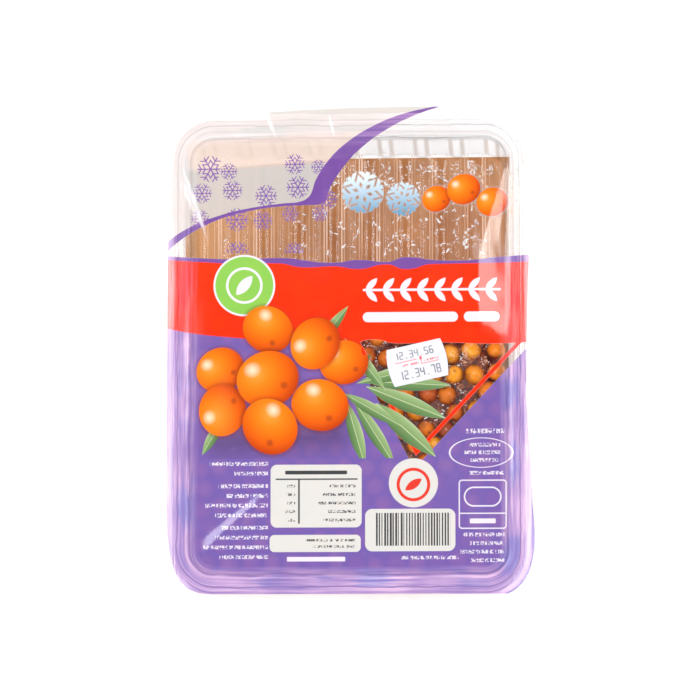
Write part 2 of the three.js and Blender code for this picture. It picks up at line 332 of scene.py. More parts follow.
def makeTray(t):
    letGo()
    lipLevel = trayHigh.z - t["lip"]
    bpy.ops.mesh.primitive_plane_add(size=1, location=(middleX, middleY, lipLevel))
    tray = bpy.context.object
    tray.scale = (2 * halfWide, 2 * halfLong, 1)
    settle(tray)
    editing(tray)
    bpy.ops.mesh.select_all(action="SELECT")
    bpy.ops.mesh.bevel(offset=t["corner"], segments=t["cornerSteps"], affect="VERTICES")
    bpy.ops.mesh.select_all(action="SELECT")
    level = lipLevel
    for inset, rise in t["rim"]:
        bpy.ops.mesh.inset(thickness=inset * mm, depth=rise * mm)
        level += rise * mm
    reach = halfLong - sum(inset for inset, rise in t["rim"]) * mm
    ringLevels = []
    for inset, extra, drop in t["wall"]:
        bpy.ops.mesh.inset(thickness=inset * mm, depth=-drop * mm)
        reach -= inset * mm
        shrink = (reach - extra * mm) / reach
        bpy.ops.transform.resize(value=(1, shrink, 1), center_override=(middleX, middleY, level))
        reach -= extra * mm
        level -= drop * mm
        ringLevels.append(level)
    wallTop = ringLevels[0] + 0.5 * mm
    centres = [middleX + (i - (t["ribs"] - 1) / 2) * t["ribPitch"] for i in range(t["ribs"])]
    for centre in centres:
        for side in (-t["ribFoot"], -t["ribCrest"], t["ribCrest"], t["ribFoot"]):
            pickFaces(tray, lambda c, n: c.z < wallTop)
            bpy.ops.mesh.bisect(plane_co=(centre + side, 0, 0), plane_no=(1, 0, 0))
    tiny = 0.05 * mm
    onEnd = halfLong * 0.8
    floorLevel = ringLevels[-1]

    def onCrest(co):
        return any(abs(co.x - centre) < t["ribCrest"] + tiny for centre in centres)

    # the ribs rise from the floor, and their flutes stand in from the end walls
    pickPoints(tray, lambda co: abs(co.z - floorLevel) < tiny and onCrest(co)
               and abs(co.y - middleY) < onEnd * 1.2)
    bpy.ops.transform.translate(value=(0, 0, t["ribHeight"]))
    # (ring, share of the flute's depth, share of the rib's height)
    for ring, depth, rise in ((1, 0.7, 0.0), (2, 1.0, 0.0), (3, 1.0, 0.15), (4, 0.9, 0.55)):
        for end in (-1, 1):
            pickPoints(tray, lambda co: abs(co.z - ringLevels[ring]) < tiny and onCrest(co)
                       and (co.y - middleY) * end > onEnd)
            bpy.ops.transform.translate(value=(0, -end * t["fluteDepth"] * depth, rise * t["ribHeight"]))
    # the flutes narrow upwards, and once more at their feet
    rise, foot = t["ribHeight"], ringLevels[4]
    for low, high, narrow in ((ringLevels[3] - 0.5 * rise, ringLevels[0] + tiny, t["fluteNarrow"]),
                              (foot - 0.025 * rise, foot + 0.575 * rise, t["fluteFoot"])):
        for centre in centres:
            pickPoints(tray, lambda co: abs(co.x - centre) < t["ribFoot"] + tiny
                       and abs(co.y - middleY) > onEnd and low < co.z < high)
            bpy.ops.transform.resize(value=(narrow, 1, 1), center_override=(centre, middleY, 0))
    applyModifier(tray, "SOLIDIFY", {"thickness": t["sheet"], "offset": -1, "use_even_offset": True})
    applyModifier(tray, "SUBSURF", {"levels": 2, "render_levels": 2})
    smoothed(tray)
    fitOut(tray, "clearTray", "clear_tray", clearPet(), "tray")
    tray.visible_shadow = False  # clear sheet: what little shade it gives is already in its tint
    return tray


tray = makeTray(traySheet)
print("tray formed", len(tray.data.polygons), "faces")


# ---- kraft card under the tray ----

kraftCard = {
    "thickness": 0.34 * mm,
    "middleLevel": 0.3 * mm,  # how high the middle of its thickness lies above its lowest level
    "edge": 0.06 * mm,
    "warp": 0.12 * mm,
    "cuts": 24,
    # corners in mm from the tray's middle, anticlockwise
    "corners": [(-71, -86), (66, -86), (67, 88), (-8, 87.6), (-71, 82.5)],
}


def kraftBoard():
    # unbleached kraft board, calendered: matt warm brown, its fibres lie along the web
    # with darker flecks and a faint mottle
    material, tree = newMaterial("kraftBoardCalendered")
    place = addNode(tree, "TexCoord").outputs["Object"]
    grain = addNode(tree, "Mapping", {"Scale": (1.0, 0.16, 1.0)}, place)
    fibres = addNode(tree, "TexNoise", {"Scale": 1400.0, "Detail": 4.0}, grain)
    mottle = addNode(tree, "TexNoise", {"Scale": 60.0, "Detail": 4.0}, place)
    fleck = addNode(tree, "TexNoise", {"Scale": 700.0, "Detail": 2.0}, place)
    both = addNode(tree, "Math", "MULTIPLY_ADD", fibres, 0.45, mottle)
    tone = addNode(tree, "ValToRGB", {"stops": [(0.5, "#9a5c27"), (0.95, "#b3753b")]}, both)
    dark = addNode(tree, "MapRange", {}, fleck, 0.68, 0.76, 0, 0.5)
    tone = addNode(tree, "Mix", "RGBA", dark, tone, "#714a20")
    # the board is lighter towards its left side
    across = addNode(tree, "SeparateXYZ", {}, place).outputs[0]
    lightened = addNode(tree, "MapRange", {}, across, middleX - 0.02, middleX - 0.06, 0, 0.65)
    tone = addNode(tree, "Mix", "RGBA", lightened, tone, "#d39a5c")
    bump = addNode(tree, "Bump", {"Strength": 0.3, "Distance": 0.0001, "Height": fibres})
    board = {"Roughness": 0.85, "Base Color": tone, "Normal": bump}
    return surfaced(material, addNode(tree, "BsdfPrincipled", board))


def makeCard(k):
    cuts = [[low + (high - low) * i / k["cuts"] for i in range(1, k["cuts"])]
            for low, high in zip(cardLow[:2], cardHigh[:2])]
    card = flatSheet(k["corners"], cardLow.z + k["middleLevel"], *cuts)
    for point in card.data.vertices:
        x, y = point.co.x, point.co.y
        edge = min(x - cardLow.x, cardHigh.x - x, y - cardLow.y, cardHigh.y - y)
        lift = noise.noise(Vector((x * 24, y * 24, 1.5)))
        point.co.z += k["warp"] * lift * smoothStep(40 * mm, 0, edge)
    applyModifier(card, "SOLIDIFY", {"thickness": k["thickness"], "offset": 0})
    applyModifier(card, "BEVEL", {"width": k["edge"], "segments": 1, "limit_method": "ANGLE"})
    smoothed(card, 30)
    fitOut(card, "kraftCard", "kraft_card", kraftBoard(), "base_card")
    return card


card = makeCard(kraftCard)
print("card cut")


# ---- lid film, printed and welded to the flange ----

lidFilm = {
    "level": 31.6,      # underside of the film where it is welded, in mm
    "thickness": 0.1,
    "cell": 1.5,        # spacing of the cuts that let it wave, in mm
    "wave": 0.26,
    "weldInner": 4.6,   # how far in from the flange's edge the weld ends, in mm
    "tent": 0.095,      # slope of the film that stands off the right side, above the berries
    "flapDroop": 0.055,
    # creases in mm from the tray's middle: start, end, half width, height
    "creases": [
        ((-69.5, 77), (-59.5, 49), 2.1, 0.19),
        ((-63, -84), (-29, -55), 3.6, 0.38),
        ((66.5, 77), (63, 44), 1.6, 0.13),
        ((-67.5, 20), (-66, -48), 1.5, 0.13),
        ((67.6, -6), (66.5, -66), 1.5, 0.13),
        ((-20, 91), (36, 92), 1.5, 0.12),
        ((-52, -91), (44, -91.5), 1.5, 0.13),
        ((-34, 103), (-30, 93), 1.5, 0.14),
        ((-6, 103), (-8, 95), 1.5, 0.14),
    ],
}


def curvePoints(start, bend, bend2, end, steps=7):
    # points along a cubic bend, without its first
    found = []
    for i in range(1, steps + 1):
        t = i / steps
        weights = ((1 - t) ** 3, 3 * t * (1 - t) ** 2, 3 * t * t * (1 - t), t ** 3)
        found.append(tuple(sum(w * p[k] for w, p in zip(weights, (start, bend, bend2, end))) for k in (0, 1)))
    return found


def arcPoints(centre, radius, start, end, steps=7):
    found = []
    for i in range(steps + 1):
        angle = math.radians(start + (end - start) * i / steps)
        found.append((centre[0] + radius * math.cos(angle), centre[1] + radius * math.sin(angle)))
    return found


def filmEdge():
    # the trimmed edge in mm from the tray's middle: a flap at the top and one at the lower right corner
    wide, long = halfWide / mm, halfLong / mm
    corner = traySheet["corner"] / mm
    edge = [(wide + 0.6, -20)]
    edge += curvePoints(edge[-1], (wide + 0.4, 0), (wide + 0.9, 20), (wide + 1.8, 41))
    edge += curvePoints(edge[-1], (wide + 1.8, 56), (wide + 1.2, 70), (wide + 0.3, long - corner))
    edge += arcPoints((wide - corner, long - corner), corner + 0.3, 6, 90)
    edge += [(47, long + 1.2)]
    edge += curvePoints(edge[-1], (43, long + 1.6), (43, long + 5.7), (38.5, long + 5.8))
    edge += curvePoints(edge[-1], (16, long + 6), (-10, long + 5.4), (-33, long + 3.8))
    edge += curvePoints(edge[-1], (-34.4, long + 2.6), (-34.8, long + 1.4), (-35, long + 0.4), 3)
    edge += [(-(wide - corner) + 6, long + 0.3)]
    edge += arcPoints((-(wide - corner), long - corner), corner + 0.3, 90, 160)
    edge += curvePoints(edge[-1], (-wide - 0.2, long - 22), (-wide - 1.2, long - 27),
                        (-wide - 1.7, long - 32))
    edge += curvePoints(edge[-1], (-wide - 2.4, 40), (-wide - 2.5, -20), (-wide - 2.4, -66))
    edge += curvePoints(edge[-1], (-wide - 2, -92), (-71, -long - 0.9), (-58, -long - 0.9))
    edge += [(66.5, -long - 1)]
    edge += curvePoints(edge[-1], (71.5, -long + 0.9), (76, -94), (wide + 3.4, -84))
    edge += curvePoints(edge[-1], (wide + 4.4, -79), (wide + 3.8, -70), (wide + 3, -63))
    edge += curvePoints(edge[-1], (wide + 2.3, -48), (wide + 1.2, -34), (wide + 0.7, -21))
    return edge


def insideWeld(x, y):
    # mm from the weld's inner edge towards the middle, negative on the flange
    corner = traySheet["corner"] / mm
    dx = abs(x) - (halfWide / mm - corner)
    dy = abs(y) - (halfLong / mm - corner)
    away = math.hypot(max(dx, 0), max(dy, 0)) + min(max(dx, dy), 0) - corner
    return -away - lidFilm["weldInner"]


def filmLift(x, y):
    # how far the film stands above its welded level, in mm
    inside = insideWeld(x, y)
    free = smoothStep(0.0, 10.0, inside)
    lift = lidFilm["wave"] * noise.noise(Vector((x / 34, y / 42, 0.7))) * free
    lift += 0.3 * lidFilm["wave"] * noise.noise(Vector((x / 11, y / 13, 4.7))) * free
    # the film stands off in a shallow tent at the upper right and slopes down to the flange
    up = smoothStep(4, 22, y) * smoothStep(90, 80, y)
    foot = 67.0
    crest = 54.5 if y < 41 else 54.5 + (y - 41) * 0.305
    ramp = min(max(foot - x, 0), foot - crest)
    fall = max(crest - x, 0)
    lift += up * max(lidFilm["tent"] * ramp - 0.028 * fall, 0)
    for (x0, y0), (x1, y1), half, height in lidFilm["creases"]:
        along = ((x - x0) * (x1 - x0) + (y - y0) * (y1 - y0)) / ((x1 - x0) ** 2 + (y1 - y0) ** 2)
        if 0 < along < 1:
            off = abs((x - x0) * (y1 - y0) - (y - y0) * (x1 - x0)) / math.hypot(x1 - x0, y1 - y0)
            taper = smoothStep(0, 0.3, along) * smoothStep(1, 0.7, along)
            lift += height * taper * max(1 - off / half, 0)
    if inside < -lidFilm["weldInner"]:
        lift -= lidFilm["flapDroop"] * (-lidFilm["weldInner"] - inside) ** 1.3
    return lift


def filmTop(x, y):
    # height of the film's upper face above the ground, in metres, at a point in mm from the tray's middle
    return (lidFilm["level"] + lidFilm["thickness"] + filmLift(x, y)) * mm


# print on the film: places and sizes in mm from the tray's middle

printInk = {
    "white": "#dbd9d5",
    "field": "#cbd1d0",
    "sweep": "#6c4a9c",
    "purple": "#765fad",
    "red": "#ff2d04",
    "green": "#86c352",
    "text": "#e6e0ec",
    "grey": "#3c4043",
}

printCover = {"field": 0.66, "purple": 0.83, "solid": 0.93}

printEdges = {
    "sweep": [(-78, 47), (-68, 54), (-54, 59.6), (-40, 62.8), (-28, 64.4), (-20, 65.3), (-16.6, 67.4),
              (-14, 74), (-9, 82), (-1, 90), (10, 97), (22, 102), (38, 105.8), (60, 111)],
    "sweepUnder": [(-78, 42.5), (-68, 51), (-54, 58), (-40, 61.6), (-28, 63.2), (-18, 63.6), (-10.8, 64.4),
                   (-8, 70.6), (-2, 80), (6, 88.4), (16, 95.6), (27, 101.2), (39, 105.4), (60, 111)],
    "bandTop": [(-78, 42.6), (-60, 41.3), (-45, 40.9), (-30, 41.3), (-18, 40.2), (-6, 39.2), (4, 40.3),
                (16, 39.4), (24, 41.3), (34, 40.2), (46, 39.7), (60, 40.9), (78, 42.4)],
    "redTop": [(-78, 40.8), (-60, 39.6), (-45, 38.9), (-30, 39), (-18, 37.2), (-6, 37.6), (4, 36.4),
               (16, 38.3), (24, 36.2), (34, 38.2), (46, 38.4), (60, 38.6), (78, 39.4)],
    "redFoot": [(-78, 12.2), (-62, 9), (-48, 7.6), (-30, 6), (-12, 5.4), (0, 4.6), (10, 6.6), (20, 4.9),
                (40, 5.2), (60, 4.6), (78, 5.4)],
}

printWindow = {
    "tip": (27.5, -47.9),
    "rightSide": (-0.731, 0.683),  # across each side, pointing into the window
    "leftSide": (0.886, 0.465),
    "rule": 4.0,
    "ruleHalf": 0.85,
}

# (mm in from the tray's edge, strength) of the sealing bar's marks, painted as shade and highlight lines,
# from 3 mm outside to 13 mm inside
weldFrom, weldTo = 3.0, 13.0
weldShade = [(-0.6, 0), (-0.25, 0.6), (0.15, 0), (1.6, 0), (2.0, 0.85), (2.4, 0.05), (5.9, 0), (6.1, 0.2),
            (6.4, 0), (7.0, 0), (7.35, 0.8), (7.9, 0.3), (9.2, 0)]
weldHighlight = [(-2.9, 0.9), (-1.0, 0.9), (-0.3, 0.6), (0.2, 0.8), (1.6, 0.75), (2.0, 0.25), (2.5, 0.75),
            (4.0, 0.65), (5.6, 0.8), (6.1, 1.0), (6.5, 0.7), (7.2, 0.3), (8.2, 0.5), (9.6, 0.25), (11.0, 0)]


def sheetPlace(tree):
    # places in mm from the tray's middle, flat on the sheet
    place = addNode(tree, "TexCoord").outputs["Object"]
    flat = {"Location": (-middleX / mm, -middleY / mm, 0), "Scale": (1 / mm, 1 / mm, 0)}
    return addNode(tree, "Mapping", flat, place)


def localPlace(at, centre, turn=0.0, size=(1, 1)):
    return addNode(at.id_data, "Mapping", {"vector_type": "TEXTURE", "Location": (*centre, 0),
                   "Rotation": (0, 0, math.radians(turn)), "Scale": (*size, 1)}, at)


def fromCore(at, centre, half, corner, turn=0.0):
    # distance from the core of a shape with round corners, where its edge is at the corner's radius
    tree = at.id_data
    side = addNode(tree, "VectorMath", "ABSOLUTE", localPlace(at, centre, turn))
    over = addNode(tree, "VectorMath", "SUBTRACT", side, (half[0] - corner, half[1] - corner, 0))
    return addNode(tree, "VectorMath", "LENGTH", addNode(tree, "VectorMath", "MAXIMUM", over))


def roundedShape(at, centre, half, corner, turn=0.0, soft=0.12):
    # a bar, panel or disc with round corners, 1 inside and 0 outside: half its size, and the corner's radius
    far = fromCore(at, centre, half, corner, turn)
    return addNode(at.id_data, "MapRange", {}, far, corner + soft, corner - soft)


def outlineShape(at, centre, half, corner, line):
    # the same shape drawn as a line
    gap = offBy(fromCore(at, centre, half, corner), corner)
    return addNode(at.id_data, "MapRange", {}, gap, line / 2 + 0.12, line / 2 - 0.1)


def leafShape(local, half, soft=0.1):
    # where two circles overlap: pointed at both ends; half is half its length and width
    tree = local.id_data
    radius = (half[0] ** 2 + half[1] ** 2) / (2 * half[1])
    side = addNode(tree, "VectorMath", "ABSOLUTE", local)
    lowered = addNode(tree, "VectorMath", "ADD", side, (0, radius - half[1], 0))
    far = addNode(tree, "VectorMath", "LENGTH", lowered)
    return addNode(tree, "MapRange", {}, far, radius + soft, radius - soft)


def edgeCurve(across, points):
    # the height of a printed edge at each place across the sheet
    tree = across.id_data
    xs, ys = zip(*points)
    low, high = min(ys) - 1, max(ys) + 1
    curve = addNode(tree, "FloatCurve", {"Value": addNode(tree, "MapRange", {}, across, xs[0], xs[-1])})
    line = curve.mapping.curves[0]
    for i, (x, y) in enumerate(points):
        spot = ((x - xs[0]) / (xs[-1] - xs[0]), (y - low) / (high - low))
        if i in (0, len(points) - 1):
            line.points[0 if i == 0 else -1].location = spot
        else:
            line.points.new(*spot)
    curve.mapping.update()
    return addNode(tree, "MapRange", {}, curve, 0, 1, low, high)


def besideEdge(x, y, name, over=False):
    # 1 below a printed edge, or over it, and 0 on its other side
    tree = x.id_data
    pair = [edgeCurve(x, printEdges[name]), y]
    gap = addNode(tree, "Math", "SUBTRACT", *(pair[::-1] if over else pair))
    return addNode(tree, "MapRange", {}, gap, -0.12, 0.12)


def lay(ink, shapes, colour, cover):
    # prints one ink over what is there, in one or more shapes; ink holds the colour and how much it hides
    mask = joined("MAXIMUM", shapes if isinstance(shapes, list) else [shapes])
    ink["colour"] = addNode(mask.id_data, "Mix", "RGBA", mask, ink["colour"], printInk.get(colour, colour))
    ink["cover"] = addNode(mask.id_data, "Mix", "FLOAT", mask, ink["cover"], cover)


def weldShadeAndHighlights(at, ink, strong):
    # rings where the sealing bar pressed the sheet over the rim, painted as dark shade lines where the rim's
    # edges show through and pale highlight lines where they catch the light
    tree = at.id_data
    corner = traySheet["corner"] / mm
    half = (halfWide / mm - corner, halfLong / mm - corner, 0)
    over = addNode(tree, "VectorMath", "SUBTRACT", addNode(tree, "VectorMath", "ABSOLUTE", at), half)
    beyond = addNode(tree, "VectorMath", "LENGTH", addNode(tree, "VectorMath", "MAXIMUM", over))
    parts = addNode(tree, "SeparateXYZ", {}, addNode(tree, "VectorMath", "MINIMUM", over))
    inward = addNode(tree, "Math", "ADD", beyond, joined("MAXIMUM", [parts.outputs[0], parts.outputs[1]]))
    wavy = addNode(tree, "TexNoise", {"Scale": 0.07, "Detail": 3.0}, at)
    pressed = addNode(tree, "Math", "MULTIPLY_ADD", wavy, 2.2, inward)
    edge = corner + 1.1  # the waviness moves the marks outwards by as much as this on average
    depth = addNode(tree, "MapRange", {}, pressed, edge + weldFrom, edge - weldTo)
    length = addNode(tree, "TexNoise", {"Scale": 0.045, "Detail": 2.0}, at)
    firm = addNode(tree, "MapRange", {}, length, 0.3, 0.6)
    tones = []
    for marks in (weldShade, weldHighlight):
        stops = [((place + weldFrom) / (weldTo + weldFrom), strength) for place, strength in marks]
        tone = addNode(tree, "ValToRGB", {"stops": [(0, 0), *stops, (1, 0)]}, depth)
        share = addNode(tree, "MapRange", {}, firm, 0, 1, 0.5 * strong, strong)
        tones.append(joined("MULTIPLY", [tone, share]))
    dark, pale = tones
    # the painted shade lines, which also grey the light through the film
    ink["pressed"] = dark
    dark = joined("MULTIPLY", [dark, addNode(tree, "MapRange", {}, ink["cover"], 0, 1, 0.3)])
    multiply, screen = [{"data_type": "RGBA", "blend_type": kind} for kind in ("MULTIPLY", "SCREEN")]
    shade = addNode(tree, "Mix", multiply, dark, ink["colour"], "#9d98ad")
    clamped = {"operation": "MULTIPLY_ADD", "use_clamp": True}
    thin = addNode(tree, "Math", clamped, ink["cover"], -4.2, 4.2)
    wide = addNode(tree, "TexNoise", {"Scale": 0.055, "Detail": 1.0}, at)
    # pull lines run along the weld: the pattern is long beside it and short across it
    alongWeld = addNode(tree, "VectorMath", "MULTIPLY", at, (0.04, 0.04, 0))
    alongWeld = addNode(tree, "VectorMath", "ADD", alongWeld, addNode(tree, "CombineXYZ", {"Z": inward}))
    pull = addNode(tree, "TexNoise", {"Scale": 0.85, "Detail": 2.0}, alongWeld)
    pale = joined("MULTIPLY", [pale, addNode(tree, "MapRange", {}, pull, 0.35, 0.65, 0.5, 1.25)])
    shift = addNode(tree, "Math", "MULTIPLY_ADD", pull, 0.6, wide)
    # the strip outside the weld is lit from its edge, and reads pink
    rosy = joined("MAXIMUM", [addNode(tree, "MapRange", {}, shift, 0.66, 0.82),
                              addNode(tree, "MapRange", {}, inward, corner - 2.6, corner - 1.8)])
    hue = addNode(tree, "Mix", "RGBA", rosy, "#96a1c4", "#edc1ce")
    ink["colour"] = addNode(tree, "Mix", screen, joined("MULTIPLY", [pale, thin]), shade, hue)
    ink["cover"] = addNode(tree, "Math", clamped, joined("MAXIMUM", [dark, pale]), 0.2, ink["cover"])


def crystalShape(local, reach, line):
    # a six-armed snow crystal: one arm with its twigs, folded round the middle; reach may be a node
    tree = local.id_data
    split = addNode(tree, "SeparateXYZ", {}, local)
    angle = addNode(tree, "Math", "ARCTAN2", split.outputs[1], split.outputs[0])
    fold = addNode(tree, "Math", "PINGPONG", angle, math.pi / 6)
    unit = addNode(tree, "Math", "DIVIDE", addNode(tree, "VectorMath", "LENGTH", local), reach)
    along, aside = [joined("MULTIPLY", [addNode(tree, "Math", wave, fold), unit])
                    for wave in ("COSINE", "SINE")]
    lines = [aside]
    for start in (0.38, 0.68):
        twig = joined("ADD", [addNode(tree, "Math", "MULTIPLY_ADD", aside, -0.577, -start), along])
        lines.append(addNode(tree, "Math", "ABSOLUTE", twig))
    near = addNode(tree, "MapRange", {}, joined("MINIMUM", lines), line * 1.5, line * 0.6)
    return joined("MULTIPLY", [near, addNode(tree, "MapRange", {}, unit, 1.0, 0.93)])


def textRows(at, corner, size, pitch, thick, seed):
    # rows of short bars set against the right side, in place of small print
    tree = at.id_data
    local = addNode(tree, "SeparateXYZ", {}, localPlace(at, corner, 180))
    row = addNode(tree, "Math", "DIVIDE", local.outputs[1], pitch)
    half = thick / pitch / 2
    fromMiddle = offBy(addNode(tree, "Math", "FRACT", row), 0.5)
    bar = addNode(tree, "MapRange", {}, fromMiddle, half + 0.05, half - 0.05)
    shifted = addNode(tree, "Math", "ADD", addNode(tree, "Math", "FLOOR", row), seed)
    length = addNode(tree, "TexWhiteNoise", {"noise_dimensions": "1D"}, shifted)
    end = addNode(tree, "MapRange", {}, length, 0, 1, size[0] * 0.55, size[0])
    short = addNode(tree, "Math", "LESS_THAN", local.outputs[0], end)
    spread = addNode(tree, "Math", "MULTIPLY_ADD", shifted, 37.0, local.outputs[0])
    words = addNode(tree, "TexNoise", {"noise_dimensions": "1D", "Scale": 0.9, "Detail": 1.0}, spread)
    letters = addNode(tree, "TexNoise", {"noise_dimensions": "2D", "Scale": 1.15, "Detail": 1.0}, at)
    middle = (corner[0] - size[0] / 2, corner[1] - size[1] / 2)
    return joined("MULTIPLY", [bar, short, addNode(tree, "MapRange", {}, words, 0.36, 0.44),
                               addNode(tree, "MapRange", {}, letters, 0.42, 0.5),
                               roundedShape(at, middle, (size[0] / 2, size[1] / 2), 0.1)])


def groundInk(at):
    # the large fields that run through the lower parts of the sheet
    tree = at.id_data
    split = addNode(tree, "SeparateXYZ", {}, at)
    x, y = split.outputs[0], split.outputs[1]
    ink = {"colour": printInk["purple"], "cover": printCover["purple"]}
    w = printWindow
    sides = []
    for name in ("rightSide", "leftSide"):
        fromTip = addNode(tree, "VectorMath", "SUBTRACT", at, (*w["tip"], 0))
        sides.append(addNode(tree, "VectorMath", "DOT_PRODUCT", fromTip, (*w[name], 0)))
    depth = joined("MINIMUM", sides)
    lay(ink, addNode(tree, "MapRange", {}, depth, -0.12, 0.12), "white", 0.0)
    rule = addNode(tree, "MapRange", {}, offBy(depth, w["rule"]), w["ruleHalf"] + 0.1, w["ruleHalf"] - 0.1)
    lay(ink, rule, "red", printCover["solid"])
    lay(ink, besideEdge(x, y, "redFoot", over=True), "red", printCover["solid"])
    return ink, x, y


def upperPrint(at):
    # white field with a purple sweep, purple snow crystals, and a row of crystals and berries
    tree = at.id_data
    split = addNode(tree, "SeparateXYZ", {}, at)
    x, y = split.outputs[0], split.outputs[1]
    ink = {"colour": printInk["field"], "cover": printCover["field"]}
    lay(ink, roundedShape(at, (-27, 87.0), (41, 6.2), 3, 3.5, 1.0), "#dccfc5", printCover["field"])
    lay(ink, besideEdge(x, y, "sweep"), "sweep", 0.9)
    lay(ink, besideEdge(x, y, "sweepUnder"), "white", 0.0)
    cells = addNode(tree, "TexVoronoi", {"voronoi_dimensions": "2D", "Scale": 1 / 13, "Randomness": 0.62}, at)
    middle = cells.outputs["Position"]
    chance = addNode(tree, "SeparateColor", {}, cells.outputs["Color"]).outputs[0]
    reach = addNode(tree, "MapRange", {}, chance, 0, 1, 3.2, 6.3)
    crystals = crystalShape(addNode(tree, "VectorMath", "SUBTRACT", at, middle), reach, 0.045)
    field = roundedShape(middle, (-35, 62), (29, 21), 12, 0, 0.5)
    lay(ink, joined("MULTIPLY", [crystals, field]), "#7350a6", 0.86)
    for centre, size in (((6, 69), 9.2), ((23, 66), 7.4)):
        height = addNode(tree, "MapRange", {}, y, 58, 78)
        shade = addNode(tree, "ValToRGB", {"stops": [(0, "#2f8bb6"), (1, "#e6f3fa")]}, height)
        lay(ink, crystalShape(localPlace(at, centre, 15), size, 0.1), shade, 0.92)
    for centre, size in (((37, 66), 5.6), ((48.5, 70), 6.6), ((60.5, 64.5), 6.2)):
        berry(ink, at, centre, size, 20)
    lay(ink, besideEdge(x, y, "bandTop"), "sweep", 0.9)
    lay(ink, besideEdge(x, y, "redTop"), "red", printCover["solid"])
    # painted highlights along the creases, where they catch the light: middle, half length and width, turn
    broken = addNode(tree, "TexNoise", {"Scale": 0.2, "Detail": 2.0}, at)
    fades = addNode(tree, "MapRange", {}, broken, 0.35, 0.6, 0.35, 0.85)
    for centre, half, turn in (((-64.8, 64.5), (15.5, 1.0), 108.8), ((-33, 98.2), (5.5, 0.7), 112),
                               ((-7.2, 97.5), (4.2, 0.5), 104)):
        creaseHighlight = leafShape(localPlace(at, centre, turn), half, 0.45)
        lay(ink, joined("MULTIPLY", [creaseHighlight, fades]), "#fbfafc", 0.9)
    return ink


def berry(ink, at, centre, size, turn):
    # one printed berry: light from the upper left, warm rim, a small star where the flower was
    tree = at.id_data
    local = localPlace(at, centre, turn, (size * 1.08, size * 0.97))
    far = addNode(tree, "VectorMath", "LENGTH", local)
    lit, glint, star = [addNode(tree, "VectorMath", "DISTANCE", local, spot)
                        for spot in ((-0.3, 0.32, 0), (-0.36, 0.5, 0), (0.42, -0.4, 0))]
    stops = [(0, "#fb9a3a"), (0.3, "#f57e12"), (0.62, "#ee6404"), (0.93, "#bd3c06")]
    shade = addNode(tree, "ValToRGB", {"stops": stops}, addNode(tree, "MapRange", {}, lit, 0.0, 1.5))
    lay(ink, joined("MULTIPLY", [addNode(tree, "MapRange", {}, far, 1.16, 0.98), 0.55]), "#6e2c10", 0.9)
    lay(ink, addNode(tree, "MapRange", {}, far, 1.012, 0.985), shade, 0.97)
    lay(ink, joined("MULTIPLY", [addNode(tree, "MapRange", {}, glint, 0.3, 0.04), 0.75]), "#ffe9cf", 0.96)
    lay(ink, joined("MULTIPLY", [addNode(tree, "MapRange", {}, star, 0.17, 0.06), 0.7]), "#9a3d12", 0.96)


def printedLeaf(ink, at, centre, half, turn):
    # slender silvery leaf with a paler rib
    tree = at.id_data
    local = localPlace(at, centre, turn)
    across = addNode(tree, "SeparateXYZ", {}, local).outputs[1]
    stops = [(0, "#4c6b3e"), (0.2, "#5f8050"), (0.46, "#6c8f57"), (0.5, "#c9d2ae"), (0.54, "#7d9c62"),
             (0.85, "#93ad78"), (1, "#b3c193")]
    share = addNode(tree, "MapRange", {}, across, -half[1], half[1])
    shade = addNode(tree, "ValToRGB", {"stops": stops}, share)
    lay(ink, leafShape(local, half), shade, 0.96)


def roundel(ink, at):
    disc = (-43.9, 29.7)
    lay(ink, roundedShape(at, disc, (13, 13), 13), "text", 0.95)
    lay(ink, roundedShape(at, disc, (12.2, 12.2), 12.2), "green", 0.95)
    ring = outlineShape(at, disc, (7.2, 7.2), 7.2, 1.0)
    lay(ink, [ring, leafShape(localPlace(at, disc, 50), (5.2, 2.2))], "text", 0.95)


def bandPrint(at):
    # red band: a green roundel with a leaf, and a white run of leaf pairs over a bar
    tree = at.id_data
    ink, x, y = groundInk(at)
    lay(ink, besideEdge(x, y, "redTop", over=True), "sweep", 0.9)
    lay(ink, besideEdge(x, y, "bandTop", over=True), "white", 0.0)
    roundel(ink, at)
    pitch = 7.2
    left, right, line = 6.0, 64.0, 27.5
    middle, reach = ((left + right) / 2, line), (right - left) / 2
    step = addNode(tree, "Math", "WRAP", addNode(tree, "Math", "SUBTRACT", x, left), pitch, 0.0)
    cell = addNode(tree, "CombineXYZ", {}, step, offBy(y, line))
    leaves = leafShape(localPlace(cell, (pitch / 2, 2.3), 48), (3.6, 1.35))
    lay(ink, [joined("MULTIPLY", [leaves, roundedShape(at, middle, (reach, 6), 0.2)]),
              roundedShape(at, middle, (reach, 0.5), 0.5),
              roundedShape(at, (26, 16), (20, 2.1), 2.1),
              roundedShape(at, (56, 16), (7.5, 2.1), 2.1)], "text", 0.93)
    return ink


# printed leaves and berries in mm: middle, half length and width or radius, turn in degrees
sprigLeaves = [((3, -33), (14, 3.0), -74), ((11, -33), (16, 2.9), -58), ((24, -31.6), (17, 3.9), -42),
               ((24, -20), (18, 3.6), -22), ((25, -12), (18, 3.1), -3), ((19, -8), (16, 2.7), 14),
               ((7, -4), (14, 2.6), -52), ((9.5, 5), (15, 2.0), 70), ((10, -23), (14, 2.6), -30),
               ((-57, -34), (9, 2.2), 60), ((-7, 12), (11, 2.2), 52)]
sprigBerries = [((-2, -3), 9.6, 10), ((-34, 11), 10.0, -30), ((-54, -6), 9.5, 30), ((-14, 5), 10.4, 60),
                ((-53, -23), 10.2, 80), ((-12, -21), 11.2, -15), ((-34, -10), 12.2, 20),
                ((-33, -30), 11.4, -50)]


def picturePrint(at):
    # a berry sprig: plump berries along a stem, leaves fanned behind
    ink, x, y = groundInk(at)
    roundel(ink, at)
    lay(ink, joined("MULTIPLY", [roundedShape(at, (-30, -32), (30, 9), 7, 4, 5), 0.7]), "#57406b", 0.9)
    for place in sprigLeaves:
        printedLeaf(ink, at, *place)
    for place in sprigBerries:
        berry(ink, at, *place)
    return ink


def fieldPrint(at):
    return groundInk(at)[0]


